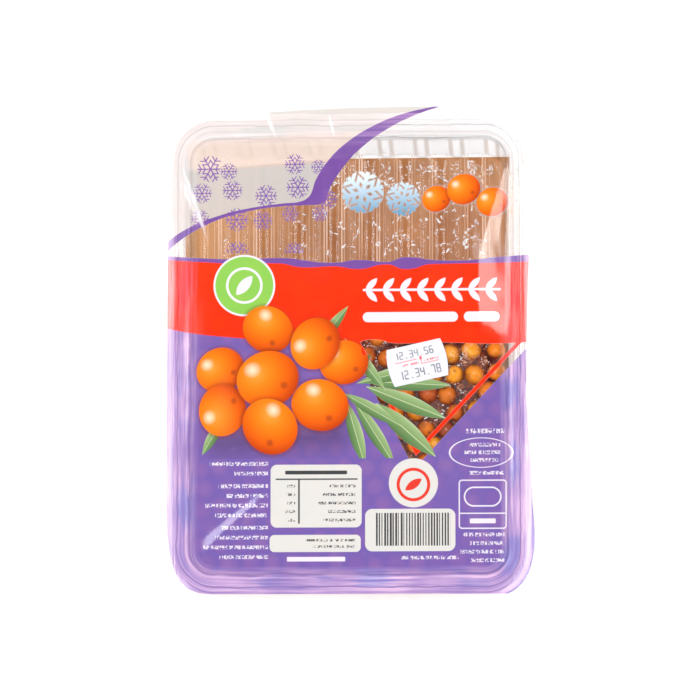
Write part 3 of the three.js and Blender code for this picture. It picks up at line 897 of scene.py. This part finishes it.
def leftTextPrint(at):
    ink, x, y = groundInk(at)
    lay(ink, [textRows(at, (-33.8, -43.6), (27, 8.2), 4.1, 1.5, 3),
              textRows(at, (-33.8, -53), (29, 16.4), 4.1, 1.6, 11),
              textRows(at, (-33.8, -70.5), (30, 17), 4.1, 1.5, 23)], "text", 0.9)
    return ink


def panelPrint(at):
    # white panels: a ruled table, a bare one, a striped one, and a disc with a ring
    tree = at.id_data
    ink, x, y = groundInk(at)
    lay(ink, [roundedShape(at, (-13.6, -59.3), (19.1, 13.2), 2.6),
              roundedShape(at, (-14, -79.2), (19.1, 3.6), 2.0),
              roundedShape(at, (25.85, -73.7), (18.9, 8.9), 3.0),
              roundedShape(at, (27.2, -53.9), (10.3, 10.3), 10.3)], "white", 0.9)
    step = addNode(tree, "Math", "DIVIDE", x, 1.15)
    width = addNode(tree, "TexWhiteNoise", {"noise_dimensions": "1D"}, addNode(tree, "Math", "FLOOR", step))
    dark = addNode(tree, "MapRange", {}, width, 0, 1, 0.28, 0.8)
    left = addNode(tree, "Math", "SUBTRACT", dark, addNode(tree, "Math", "FRACT", step))
    stripes = joined("MULTIPLY", [addNode(tree, "MapRange", {}, left, -0.08, 0.08),
                                  roundedShape(at, (27, -73.4), (15.6, 6.9), 0.2)])
    lay(ink, [roundedShape(at, (-13.4, -52.2), (17.2, 0.3), 0.2),
              roundedShape(at, (-20.8, -61.6), (0.35, 9.3), 0.2),
              roundedShape(at, (-13.6, -49.4), (13, 0.8), 0.4),
              textRows(at, (2.9, -53.3), (17, 17.9), 3.58, 1.15, 41),
              textRows(at, (-22.4, -53.3), (4.6, 17.9), 3.58, 1.15, 47),
              textRows(at, (2.5, -76.6), (30, 5.2), 2.6, 1.0, 59), stripes], "grey", 0.95)
    lay(ink, [outlineShape(at, (27.2, -54.6), (6.4, 6.4), 6.4, 1.3),
              leafShape(localPlace(at, (27.2, -54.6), 35), (4.2, 1.7))], "#dc3a2c", 0.95)
    lay(ink, [roundedShape(at, (-13.6, -85.8), (12.2, 0.95), 0.4),
              textRows(at, (46.6, -84), (41, 2.6), 2.6, 1.4, 71)], "text", 0.9)
    return ink


def rightTextPrint(at):
    ink, x, y = groundInk(at)
    tree = at.id_data
    oval = addNode(tree, "VectorMath", "LENGTH", localPlace(at, (55.6, -41.3), 0, (1, 0.47)))
    lay(ink, [addNode(tree, "MapRange", {}, offBy(oval, 13.2), 0.5, 0.2),
              textRows(at, (65.3, -30.6), (19, 3.2), 3.2, 1.9, 81),
              textRows(at, (63.6, -36.4), (16, 9.6), 3.2, 1.5, 5),
              textRows(at, (65, -48.5), (18, 2.6), 2.6, 1.5, 31),
              outlineShape(at, (56.2, -63), (9.8, 10.1), 1.2, 0.5),
              roundedShape(at, (56.2, -66.8), (9.8, 0.25), 0.2),
              outlineShape(at, (56.2, -59.8), (7.6, 3.9), 3.9, 0.6),
              roundedShape(at, (56.2, -70), (5.4, 1.0), 0.4),
              textRows(at, (65.4, -73.9), (19, 14.4), 3.6, 1.5, 13)], "text", 0.88)
    return ink


def printedFilm(name, printer, tint, square=0.038, edgeOn=0.36):
    # polypropylene film, cast and reverse printed: flexo inks that let some light through,
    # a wet gloss over all of it, fine pull lines along the welds
    material, tree = newMaterial(name)
    place = addNode(tree, "TexCoord").outputs["Object"]
    at = sheetPlace(tree)
    ink = {"colour": printInk["white"], "cover": 0.0}
    if printer:
        ink = printer(at)
        weldShadeAndHighlights(at, ink, 0.8 if printer is upperPrint else 1.0)
    pulled = addNode(tree, "Mapping", {"Scale": (1.0, 0.03, 1.0)}, place)
    lines = addNode(tree, "TexNoise", {"Scale": 620.0, "Detail": 2.0}, pulled)
    side = addNode(tree, "Math", "ABSOLUTE", addNode(tree, "SeparateXYZ", {}, at).outputs[0])
    toSide = addNode(tree, "MapRange", {}, side, 63.0, 70.0)
    nearSide = addNode(tree, "Math", "MULTIPLY_ADD", toSide, 0.8, 0.02)
    bump = addNode(tree, "Bump", {"Distance": 0.00005, "Height": lines, "Strength": nearSide})
    through = addNode(tree, "Mix", "RGBA", ink["cover"], "#fdfdfe", tint)
    if printer:
        # painted shade: the weld's dark lines also grey the light through the film
        faint = addNode(tree, "MapRange", {}, ink["cover"], 0, 1, 0.95, 0.3)
        shaded = joined("MULTIPLY", [ink["pressed"], faint])
        through = addNode(tree, "Mix", "RGBA", shaded, through, "#7d8284")
    clear = addNode(tree, "BsdfTransparent", {}, through)
    printed = addNode(tree, "BsdfPrincipled", {"Roughness": 0.5, "Specular IOR Level": 0.0,
                      "Base Color": ink["colour"]})
    body = addNode(tree, "MixShader", {}, ink["cover"], clear, printed)
    return mirrored(material, body, bump, square, edgeOn)


# the sheet's parts, each with only its own print: name, printer, tint, and whether a place in mm is in it
violet = "#c9b4e4"
filmParts = [
    ("filmUpperPrint", upperPrint, "#dfa27c", lambda x, y: y > 43.5),
    ("filmRightPrint", rightTextPrint, violet,
     lambda x, y: x > 45.8 and y < -28 or x > 41.5 and -50 < y < -33),
    ("filmPicturePrint", picturePrint, violet,
     lambda x, y: -65 < x < 48 and -43.4 < y < 0 or -65 < x < 6 and 0 <= y < 22),
    ("filmBandPrint", bandPrint, "#fbc0b0", lambda x, y: y > 2.5),
    ("filmLeftPrint", leftTextPrint, violet, lambda x, y: x < -33.3 and y < -39),
    ("filmPanelPrint", panelPrint, violet, lambda x, y: y < -42),
    ("filmFieldPrint", fieldPrint, violet, lambda x, y: True),
]


def makeFilm(f):
    cuts = [[middle + (i * f["cell"] - reach) * mm for i in range(1, int(2 * reach / f["cell"]))]
            for middle, reach in ((middleX, 80), (middleY, 108))]
    film = flatSheet(filmEdge(), f["level"] * mm, *cuts)
    for point in film.data.vertices:
        point.co.z = filmTop((point.co.x - middleX) / mm, (point.co.y - middleY) / mm)
    applyModifier(film, "SOLIDIFY", {"thickness": f["thickness"] * mm, "offset": -1})
    for name, printer, tint, test in filmParts:
        film.data.materials.append(printedFilm(name, printer, tint))
    film.data.materials.append(printedFilm("filmClear", None, "#fdfdfe", 0.01, 0.1))
    for face in film.data.polygons:
        x, y = (face.center.x - middleX) / mm, (face.center.y - middleY) / mm
        hits = [i for i, part in enumerate(filmParts) if part[3](x, y)]
        face.material_index = hits[0] if face.normal.z > 0.3 else len(filmParts)
    smoothed(film, 40)
    fitOut(film, "lidFilm", "printed_film", None, "lid_film")
    film.visible_shadow = False  # it lets most of the light through, so what is under it stays bright
    return film


film = makeFilm(lidFilm)
print("film laid", len(film.data.polygons), "faces")


# ---- date sticker ----

dateLabel = {
    "digits": ("12.34.56", "12.34.78"),
    "size": (23, 16),
    "centre": (28.9, -3.3),
    "turn": 12.6,
    "bulge": 1.08,     # how far the cut short sides swing out at their middle, in mm
    "thickness": 0.09,
    "curl": 0.12,
}

# middle and half size of each stroke, for a digit one wide and two high
digitStrokes = {
    "top": ((0.5, 1.92), (0.4, 0.13)),
    "middle": ((0.5, 1.0), (0.4, 0.13)),
    "foot": ((0.5, 0.08), (0.4, 0.13)),
    "upperLeft": ((0.12, 1.46), (0.13, 0.46)),
    "lowerLeft": ((0.12, 0.54), (0.13, 0.46)),
    "upperRight": ((0.88, 1.46), (0.13, 0.46)),
    "lowerRight": ((0.88, 0.54), (0.13, 0.46)),
    "dot": ((0.5, 0.12), (0.14, 0.14)),
}
digitParts = {
    "1": ("upperRight", "lowerRight"),
    "2": ("top", "upperRight", "middle", "lowerLeft", "foot"),
    "3": ("top", "upperRight", "middle", "lowerRight", "foot"),
    "4": ("upperLeft", "middle", "upperRight", "lowerRight"),
    "5": ("top", "upperLeft", "middle", "lowerRight", "foot"),
    "6": ("top", "upperLeft", "lowerLeft", "middle", "lowerRight", "foot"),
    "7": ("top", "upperRight", "lowerRight"),
    "8": ("top", "upperLeft", "upperRight", "middle", "lowerLeft", "lowerRight", "foot"),
    ".": ("dot",),
}


def digitRow(at, corner, pitch, tall, digits):
    # plain counting digits in a row; each stroke is switched on by the digit's place in the row
    tree = at.id_data
    local = addNode(tree, "SeparateXYZ", {}, localPlace(at, corner))
    step = addNode(tree, "Math", "DIVIDE", local.outputs[0], pitch)
    wide = addNode(tree, "Math", "MULTIPLY_ADD", addNode(tree, "Math", "FRACT", step), 1.3, -0.15)
    cell = addNode(tree, "CombineXYZ", {}, wide, joined("MULTIPLY", [local.outputs[1], 2 / tall]))
    share = addNode(tree, "Math", "DIVIDE", step, len(digits))
    strokes = []
    for name, (centre, half) in digitStrokes.items():
        stops = [(i / len(digits), float(name in digitParts[digit])) for i, digit in enumerate(digits)]
        switch = addNode(tree, "ValToRGB", {"stops": [*stops, (1, 1)]}, share)
        switch.color_ramp.interpolation = "CONSTANT"
        strokes.append(joined("MULTIPLY", [switch, roundedShape(cell, centre, half, 0.08, 0, 0.05)]))
    length = pitch * len(digits)
    row = roundedShape(at, (corner[0] + length / 2, corner[1] + tall / 2), (length / 2, tall / 2 + 0.2), 0.1)
    return joined("MULTIPLY", [joined("MAXIMUM", strokes), row])


def labelPaper():
    # coated label paper, price-gun printed: bright white and nearly matt, grey digits, a thin red rule
    material, tree = newMaterial("labelPaperCoated")
    at = sheetPlace(tree)
    local = localPlace(at, dateLabel["centre"], dateLabel["turn"])
    ink = {"colour": "#d6d5dc", "cover": 1.0}
    marks = [digitRow(local, (-9.3, 2.7), 2.15, 3.1, dateLabel["digits"][0]),
             digitRow(local, (-9.0, -5.9), 2.3, 3.7, dateLabel["digits"][1])]
    lightened = addNode(tree, "TexNoise", {"Scale": 0.35, "Detail": 2.0}, at)
    fade = addNode(tree, "MapRange", {}, lightened, 0.3, 0.6, 0.65, 1.0)
    lay(ink, joined("MULTIPLY", [joined("MAXIMUM", marks), fade]), "#474d5a", 1.0)
    lay(ink, [roundedShape(local, (-4.6, 1.55), (4.6, 0.14), 0.1),
              roundedShape(local, (5.4, -0.75), (3.7, 0.14), 0.1),
              roundedShape(local, (1.75, 0.3), (0.14, 1.1), 0.1),
              textRows(local, (9.0, 1.1), (6.4, 1.5), 1.5, 0.8, 19),
              textRows(local, (0.6, 0.75), (9.0, 1.6), 1.6, 0.8, 29),
              leafShape(localPlace(local, (1.75, 1.7), 90), (1.0, 0.55))], "#d8555c", 1.0)
    fibres = addNode(tree, "TexNoise", {"Scale": 2.6, "Detail": 3.0}, at)
    bump = addNode(tree, "Bump", {"Strength": 0.2, "Distance": 0.0001, "Height": fibres})
    paper = {"Roughness": 0.55, "Base Color": ink["colour"], "Normal": bump}
    return surfaced(material, addNode(tree, "BsdfPrincipled", paper))


def makeLabel(d):
    letGo()
    bpy.ops.mesh.primitive_grid_add(x_subdivisions=30, y_subdivisions=22, size=1)
    label = bpy.context.object
    label.scale = (d["size"][0] * mm, d["size"][1] * mm, 1)
    settle(label)
    turn = math.radians(d["turn"])
    halfX, halfY = d["size"][0] / 2, d["size"][1] / 2
    for point in label.data.vertices:
        u, v = point.co.x / mm, point.co.y / mm
        u += d["bulge"] * (u / halfX) * (1 - (v / halfY) ** 2)
        x = d["centre"][0] + u * math.cos(turn) - v * math.sin(turn)
        y = d["centre"][1] + u * math.sin(turn) + v * math.cos(turn)
        lift = d["curl"] * max(abs(u) / halfX * abs(v) / halfY - 0.62, 0)
        point.co = (middleX + x * mm, middleY + y * mm, filmTop(x, y) + (0.02 + d["thickness"] + lift) * mm)
    applyModifier(label, "SOLIDIFY", {"thickness": d["thickness"] * mm, "offset": -1})
    smoothed(label, 40)
    fitOut(label, "dateLabel", "label_paper", labelPaper(), "date_sticker")
    return label


label = makeLabel(dateLabel)
print("label stuck on")


# ---- frozen berries ----

berryPack = {
    "seed": 4127,
    "radius": (4.0, 5.0),
    "spacing": 8.7,       # mm between the places the berries start from
    "rounds": 26,
    "skin": 8.5,           # only berries this near the outside of the heap are made, in mm
    "floorLevel": 3.3,
    "topLevel": 31.0,
    "halfWide": 66.0,
    "near": -92.5,
    "front": 26.0,
    "slope": 24.0,
    "gaps": 0.12,          # share of the top layer that is missing
    "coreInset": 4.7,
    "juiceDepth": 3.4,     # how far the juice stands below the tops of the berries
    "lumpSize": 5.5,
    "lumpHeight": 1.3,
}


def heapTop(x, y):
    # top of the heap in mm at a place: level, then down to the front
    p = berryPack
    front = p["front"] + 4.0 * math.sin(x / 17 + 0.6) + 2.0 * math.sin(x / 6.3 + 2)
    back = max(front - y, 0)
    return p["topLevel"] if back > p["slope"] else 8 + (p["topLevel"] - 8) * math.sqrt(back / p["slope"])


def heapSide(z):
    # half width of the tray inside at a level, in mm
    return berryPack["halfWide"] - 1.7 * (1 - smoothStep(3, 29, z)) - 3.2 * smoothStep(8, 1, z)


def packBerries(p):
    # places and radii in mm: rows with a jitter, pushed apart until they hardly overlap
    rng = random.Random(p["seed"])
    found = []
    layers = int((p["topLevel"] - p["floorLevel"]) / (p["spacing"] * 0.8))
    for k in range(layers + 1):
        z = p["floorLevel"] + 3.5 + k * (p["topLevel"] - p["floorLevel"] - 7.2) / layers
        for j in range(17):
            for i in range(17):
                x = (i - 8 + 0.5 * (j % 2) + 0.25 * (k % 2)) * p["spacing"]
                y = p["near"] + 3.5 + (j + 0.5 * (k % 2)) * p["spacing"] * 0.88
                radius = rng.uniform(*p["radius"])
                spot = Vector((x, y, z)) + Vector([rng.uniform(-1.3, 1.3) for _ in range(3)])
                if abs(spot.x) < heapSide(z) - 2 and spot.z < heapTop(spot.x, spot.y) - 1:
                    found.append([spot, radius])
    for turn in range(p["rounds"]):
        tree = kdtree.KDTree(len(found))
        for i, (spot, radius) in enumerate(found):
            tree.insert(spot, i)
        tree.balance()
        pushes = [Vector() for _ in found]
        for i, (spot, radius) in enumerate(found):
            for other, j, distance in tree.find_range(spot, radius + p["radius"][1]):
                if j == i:
                    continue
                overlap = (radius + found[j][1]) * 0.97 - distance
                if overlap > 0 and distance > 0:
                    pushes[i] += (spot - other) / distance * overlap * 0.5
        for (spot, radius), push in zip(found, pushes):
            spot += push * 0.8
            side = heapSide(spot.z) - radius
            spot.x = min(max(spot.x, -side), side)
            spot.y = max(spot.y, p["near"] + radius + 1.5 * smoothStep(14, 4, spot.z))
            spot.z = max(min(spot.z, heapTop(spot.x, spot.y) - radius), p["floorLevel"] + radius)
    return found, rng


def depthIn(spot):
    # mm from the outside of the heap
    p = berryPack
    return min(heapTop(spot.x, spot.y) - spot.z, spot.z - p["floorLevel"], heapSide(spot.z) - abs(spot.x),
               spot.y - p["near"], p["front"] + 2 - spot.y)


def frozenSkin():
    # ripe berry skin, frozen: amber and glossy, browner where it bruised, rime in patches
    material, tree = newMaterial("seaBuckthornSkinFrozen")
    place = addNode(tree, "TexCoord").outputs["Object"]
    ripe, tip, stain = [addNode(tree, "Attribute", {"attribute_name": name}).outputs["Fac"]
                        for name in ("ripeness", "tip", "stain")]
    stops = [(0, "#85350f"), (0.3, "#bb5207"), (0.62, "#ee8805"), (1, "#feb21c")]
    tone = addNode(tree, "ValToRGB", {"stops": stops}, ripe)
    blotch = addNode(tree, "TexNoise", {"Scale": 210.0, "Detail": 3.0}, place)
    bruise = addNode(tree, "MapRange", {}, blotch, 0.5, 0.7, 0, 0.55)
    tone = addNode(tree, "Mix", "RGBA", bruise, tone, "#7b3a10")
    tone = addNode(tree, "Mix", "RGBA", addNode(tree, "Math", "POWER", tip, 4.0), tone, "#4a240f")
    rime = addNode(tree, "TexNoise", {"Scale": 900.0, "Detail": 5.0, "Roughness": 0.7}, place)
    cold = addNode(tree, "TexNoise", {"Scale": 120.0, "Detail": 2.0}, place)
    white = addNode(tree, "MapRange", {}, joined("MULTIPLY", [rime, cold]), 0.32, 0.45, 0, 0.5)
    # painted shade, partly dark juice: the berries darken deeper in the heap, where they meet
    tone = addNode(tree, "Mix", {"data_type": "RGBA", "blend_type": "MULTIPLY"}, stain, tone, "#84401b")
    tone = addNode(tree, "Mix", "RGBA", white, tone, "#e9dcd0")
    rough = addNode(tree, "MapRange", {}, white, 0, 1, 0.16, 0.6)
    bump = addNode(tree, "Bump", {"Strength": 0.3, "Distance": 0.0003, "Height": rime})
    skin = {"IOR": 1.4, "Subsurface Weight": 0.25, "Subsurface Radius": (1.0, 0.4, 0.1),
            "Subsurface Scale": 0.0025, "Specular IOR Level": 0.4,
            "Base Color": tone, "Roughness": rough, "Normal": bump}
    return surfaced(material, addNode(tree, "BsdfPrincipled", skin))


def makeBerries(p):
    letGo()
    bpy.ops.mesh.primitive_uv_sphere_add(segments=10, ring_count=7, radius=1)
    first = bpy.context.object
    first.data.attributes.new("tip", "FLOAT", "POINT")
    first.data.attributes.new("ripeness", "FLOAT", "POINT")
    pickPoints(first, lambda co: co.z > 0.97)
    bpy.ops.transform.translate(value=(0, 0, -0.13))
    bpy.ops.object.mode_set(mode="OBJECT")
    for point, mark in zip(first.data.vertices, first.data.attributes["tip"].data):
        mark.value = 1.0 if math.hypot(point.co.x, point.co.y) < 0.05 else 0.0
    found, rng = packBerries(p)
    kept = [(spot, radius) for spot, radius in found if depthIn(spot) < p["skin"]
            and not (heapTop(spot.x, spot.y) - spot.z < 6 and abs(spot.x) < 60 and rng.random() < p["gaps"])]
    first.data.polygons.foreach_set("use_smooth", [True] * len(first.data.polygons))
    places = []
    for spot, radius in kept:
        ripeness = min(max(rng.gauss(0.64, 0.22), 0), 1)
        turn = [rng.uniform(0, 2 * math.pi) for _ in range(3)]
        stretch = rng.uniform(0.98, 1.06)
        size = Vector((1 / stretch ** 0.5, 1 / stretch ** 0.5, stretch)) * radius * mm
        places.append((Vector((middleX, middleY, 0)) + spot * mm, turn, size, {"ripeness": ripeness}))
    berries = scattered(first, places)
    fitOut(berries, "frozenBerries", "frozen_berry", frozenSkin(), "frozen_berries")
    # painted shade, partly juice: darker the deeper a point lies in the heap
    stain = berries.data.attributes.new("stain", "FLOAT", "POINT")
    for point, mark in zip(berries.data.vertices, stain.data):
        mark.value = smoothStep(0.5, 3.3, depthIn((point.co - Vector((middleX, middleY, 0))) / mm))
    print(len(found), "berries packed,", len(kept), "made")
    return berries, rng


berries, rng = makeBerries(berryPack)


def frozenJuice():
    # juice frozen between the berries: dark red-brown and wet, white where it held air
    material, tree = newMaterial("berryJuiceFrozen")
    place = addNode(tree, "TexCoord").outputs["Object"]
    clot = addNode(tree, "TexNoise", {"Scale": 320.0, "Detail": 5.0, "Roughness": 0.65}, place)
    stops = [(0.4, "#34130a"), (0.54, "#6e2b10"), (0.62, "#9c5a30"), (0.72, "#e2cdbd")]
    tone = addNode(tree, "ValToRGB", {"stops": stops}, clot)
    bump = addNode(tree, "Bump", {"Strength": 0.8, "Distance": 0.0008, "Height": clot})
    juice = {"Roughness": 0.25, "IOR": 1.35, "Base Color": tone, "Normal": bump}
    return surfaced(material, addNode(tree, "BsdfPrincipled", juice))


def makeCore(p):
    # the frozen mass behind the outer berries
    inset = p["coreInset"]
    letGo()
    low = (-heapSide(5) + inset, p["near"] + inset + 1, p["floorLevel"] + inset * 0.6)
    high = (heapSide(5) - inset, p["front"] - 3.0, p["topLevel"] - inset)
    bpy.ops.mesh.primitive_cube_add(size=1)
    core = bpy.context.object
    core.scale = [(b - a) * mm for a, b in zip(low, high)]
    core.location = [m + (a + b) / 2 * mm for m, a, b in zip((middleX, middleY, 0), low, high)]
    settle(core)
    editing(core)
    bpy.ops.mesh.select_all(action="SELECT")
    bpy.ops.mesh.subdivide(number_cuts=40)
    bpy.ops.object.mode_set(mode="OBJECT")
    noise.seed_set(p["seed"])  # without it the vector noise differs from run to run
    for point in core.data.vertices:
        x, y = (point.co.x - middleX) / mm, (point.co.y - middleY) / mm
        z = point.co.z / mm
        share = (z - low[2]) / (high[2] - low[2])
        top = max(heapTop(x, y) - p["juiceDepth"], low[2] + 1.5)
        z = low[2] + share * (top - low[2])
        lump = noise.noise_vector(Vector((x, y, z)) / p["lumpSize"]) * p["lumpHeight"]
        point.co += lump * mm
        point.co.z = (z + lump.z) * mm
    smoothed(core)
    fitOut(core, "frozenJuice", "frozen_berry", frozenJuice(), "frozen_berries")
    return core


core = makeCore(berryPack)


def iceCrystal():
    # hoar ice: clear splinters that catch the light, so mostly white sparkle
    material, tree = newMaterial("hoarIce")
    place = addNode(tree, "TexCoord").outputs["Object"]
    grain = addNode(tree, "TexNoise", {"Scale": 1500.0, "Detail": 2.0}, place)
    share = addNode(tree, "MapRange", {}, grain, 0.3, 0.7, 0.35, 0.85)
    clear = addNode(tree, "BsdfTransparent", {}, "#f6f9fb")
    ice = addNode(tree, "BsdfPrincipled", {"Base Color": "#ffffff", "Roughness": 0.2, "IOR": 1.31})
    return surfaced(material, addNode(tree, "MixShader", {}, share, clear, ice))


hoarFrost = {
    "floorLevel": 1.3,      # top of the tray's floor, and of its ribs, in mm
    "ribLevel": 3.2,
    "alongWall": 340,
    "onFloor": 110,
    "onFilm": 70,
    "drifts": 62,
    "hang": 0.4,            # how far below the film a splinter hangs, in mm
    "inBerries": 1500,
    "size": (0.16, 0.72),   # half the width of a splinter, in mm
    "traySize": (0.16, 0.6),
}


def makeIce(name, width, spots, rng, *nodes):
    # splinters of ice at these places in mm, each lying nearly level; width is half a splinter's width in mm
    letGo()
    bpy.ops.mesh.primitive_ico_sphere_add(subdivisions=1, radius=1)
    first = bpy.context.object
    first.data.polygons.foreach_set("use_smooth", [False] * len(first.data.polygons))
    places = []
    for x, y, z in spots:
        size = rng.uniform(*width) * rng.uniform(0.5, 1.0)
        turn = (rng.gauss(0, 0.2), rng.gauss(0, 0.2), rng.uniform(0, 6.3))
        stretch = Vector((rng.uniform(0.8, 2.8), rng.uniform(0.35, 0.9), rng.uniform(0.25, 0.5)))
        places.append((Vector((middleX + x * mm, middleY + y * mm, z * mm)), turn, stretch * size * mm, {}))
    ice = scattered(first, places)
    fitOut(ice, name, "frozen_berry", iceCrystal(), *nodes)
    return ice


def berryFrostPlaces(h, rng):
    # between the berries, on the juice
    found = []
    while len(found) < h["inBerries"]:
        x, y = rng.uniform(-61, 61), rng.uniform(berryPack["near"] + 5, 20)
        z = heapTop(x, y) - berryPack["juiceDepth"] + rng.uniform(-0.2, 1.7)
        found.append((x, y, z))
    return found


def trayFrostPlaces(h, rng):
    # on the tray's floor, thickest along its far end, and under the film in drifts
    found = []
    pitch = traySheet["ribPitch"] / mm
    for i in range(h["alongWall"] + h["onFloor"]):
        x = 60 - 118 * rng.random() ** 1.5
        y = 84.5 - abs(rng.gauss(0, 4.0)) if i < h["alongWall"] else rng.uniform(36, 80)
        fromRib = abs((x + pitch / 2) % pitch - pitch / 2)
        onRib = fromRib < traySheet["ribCrest"] / mm - 0.3
        if onRib or fromRib > traySheet["ribFoot"] / mm + 0.3:
            found.append((x, y, h["ribLevel"] if onRib else h["floorLevel"]))

    def underFilm(x, y):
        found.append((x, y, filmTop(x, y) / mm - lidFilm["thickness"] - h["hang"]))

    for i in range(h["onFilm"]):
        x, y = rng.uniform(-58, 60), rng.uniform(30, 84)
        if noise.noise(Vector((x / 15, y / 15, 8.1))) > -0.1:
            underFilm(x, y)
    for i in range(h["drifts"]):
        # a drift is a short curved trail of splinters
        x, y = 56 - 80 * rng.random() ** 1.4, rng.uniform(44, 78)
        heading, bend = rng.uniform(0, 6.3), rng.gauss(0, 0.35)
        for j in range(rng.randint(5, 13)):
            heading += bend
            x, y = x + 0.75 * math.cos(heading), y + 0.75 * math.sin(heading)
            if -58 < x < 60 and 42 < y < 84:
                underFilm(x + rng.gauss(0, 0.35), y + rng.gauss(0, 0.35))
    return found


makeIce("hoarFrost", hoarFrost["size"], berryFrostPlaces(hoarFrost, rng), rng, "frozen_berries")
makeIce("windowFrost", hoarFrost["traySize"], trayFrostPlaces(hoarFrost, rng), rng)
print("berries frozen in")


# ---- floor, light and camera ----

studio = {
    "pixel": 0.42 * mm,
    "pixelsAcross": 700,
    "aim": (0.6 * mm, 2.2 * mm),
    "tiltRight": 2.7,
    "tiltFront": 6.2,
    "distance": 2.6,
    # name, direction to the right and to the back in degrees, distance, size, watts
    "lamps": [
        ("glareStrip", 7.8, 6.2, 3.0, (0.5, 1.4), 23.0),
        ("leftStrip", -13.0, 8.0, 3.0, (0.42, 1.5), 24.0),
        ("keySoftbox", -42.0, -28.0, 2.0, (1.2, 1.2), 6.0),
        ("fillSoftbox", 44.0, -20.0, 2.0, (1.2, 1.2), 4.0),
        ("backSoftbox", 5.0, 50.0, 2.0, (1.6, 0.8), 4.0),
    ],
}


def paleFloor():
    # painted board, matt: a quiet near-white ground
    material, tree = newMaterial("paintedBoardWhite")
    place = addNode(tree, "TexCoord").outputs["Object"]
    grain = addNode(tree, "TexNoise", {"Scale": 40.0, "Detail": 2.0}, place)
    tone = addNode(tree, "Mix", "RGBA", grain, "#f9f9f9", "#fcfcfc")
    paint = {"Roughness": 0.9, "Specular IOR Level": 0.1, "Base Color": tone}
    return surfaced(material, addNode(tree, "BsdfPrincipled", paint))


def studioAir():
    # a pale room whose ceiling is dim straight overhead, so that level gloss stays clear
    world = bpy.data.worlds.new("studioAir")
    world.use_nodes = True
    tree = world.node_tree
    tree.nodes.clear()
    up = addNode(tree, "SeparateXYZ", {}, addNode(tree, "TexCoord").outputs["Generated"]).outputs[2]
    bright = addNode(tree, "ValToRGB", {"stops": [(0, 1.0), (0.9, 0.85), (0.965, 0.22), (1, 0.18)]}, up)
    addNode(tree, "OutputWorld", {}, addNode(tree, "Background", {"Strength": 0.88}, bright))
    return world


def makeStudio(s):
    letGo()
    bpy.ops.mesh.primitive_plane_add(size=6, location=(0, 0, -0.0002))
    floor = bpy.context.object
    floor.name = "studioFloor"
    floor.data.materials.append(paleFloor())
    bpy.context.scene.world = studioAir()
    tilt = (math.radians(s["tiltFront"]), math.radians(s["tiltRight"]), 0)
    away = Euler(tilt).to_matrix() @ Vector((0, 0, 1))
    aim = Vector((middleX + s["aim"][0], middleY + s["aim"][1], trayHigh.z))
    letGo()
    bpy.ops.object.camera_add(location=aim + away * s["distance"], rotation=tilt)
    camera = bpy.context.object
    camera.name = "studioCamera"
    camera.data.sensor_width = 36
    camera.data.lens = 36 * s["distance"] / (s["pixel"] * s["pixelsAcross"])
    camera.data.clip_end = 20
    bpy.context.scene.camera = camera
    for name, right, back, far, size, watts in s["lamps"]:
        way = Vector((math.tan(math.radians(right)), math.tan(math.radians(back)), 1)).normalized()
        letGo()
        bpy.ops.object.light_add(type="AREA", location=way * far)
        lamp = bpy.context.object
        lamp.name = name
        lamp.data.shape = "RECTANGLE"
        lamp.data.size, lamp.data.size_y = size
        lamp.data.energy = watts
        lamp.rotation_euler = (-math.asin(way.y), math.atan2(way.x, way.z), 0)
    scene = bpy.context.scene
    scene.view_settings.view_transform = "Standard"
    scene.cycles.transparent_max_bounces = 24
    scene.cycles.max_bounces = 7
    scene.cycles.glossy_bounces = scene.cycles.diffuse_bounces = 3
    return camera


camera = makeStudio(studio)
print("studio set")
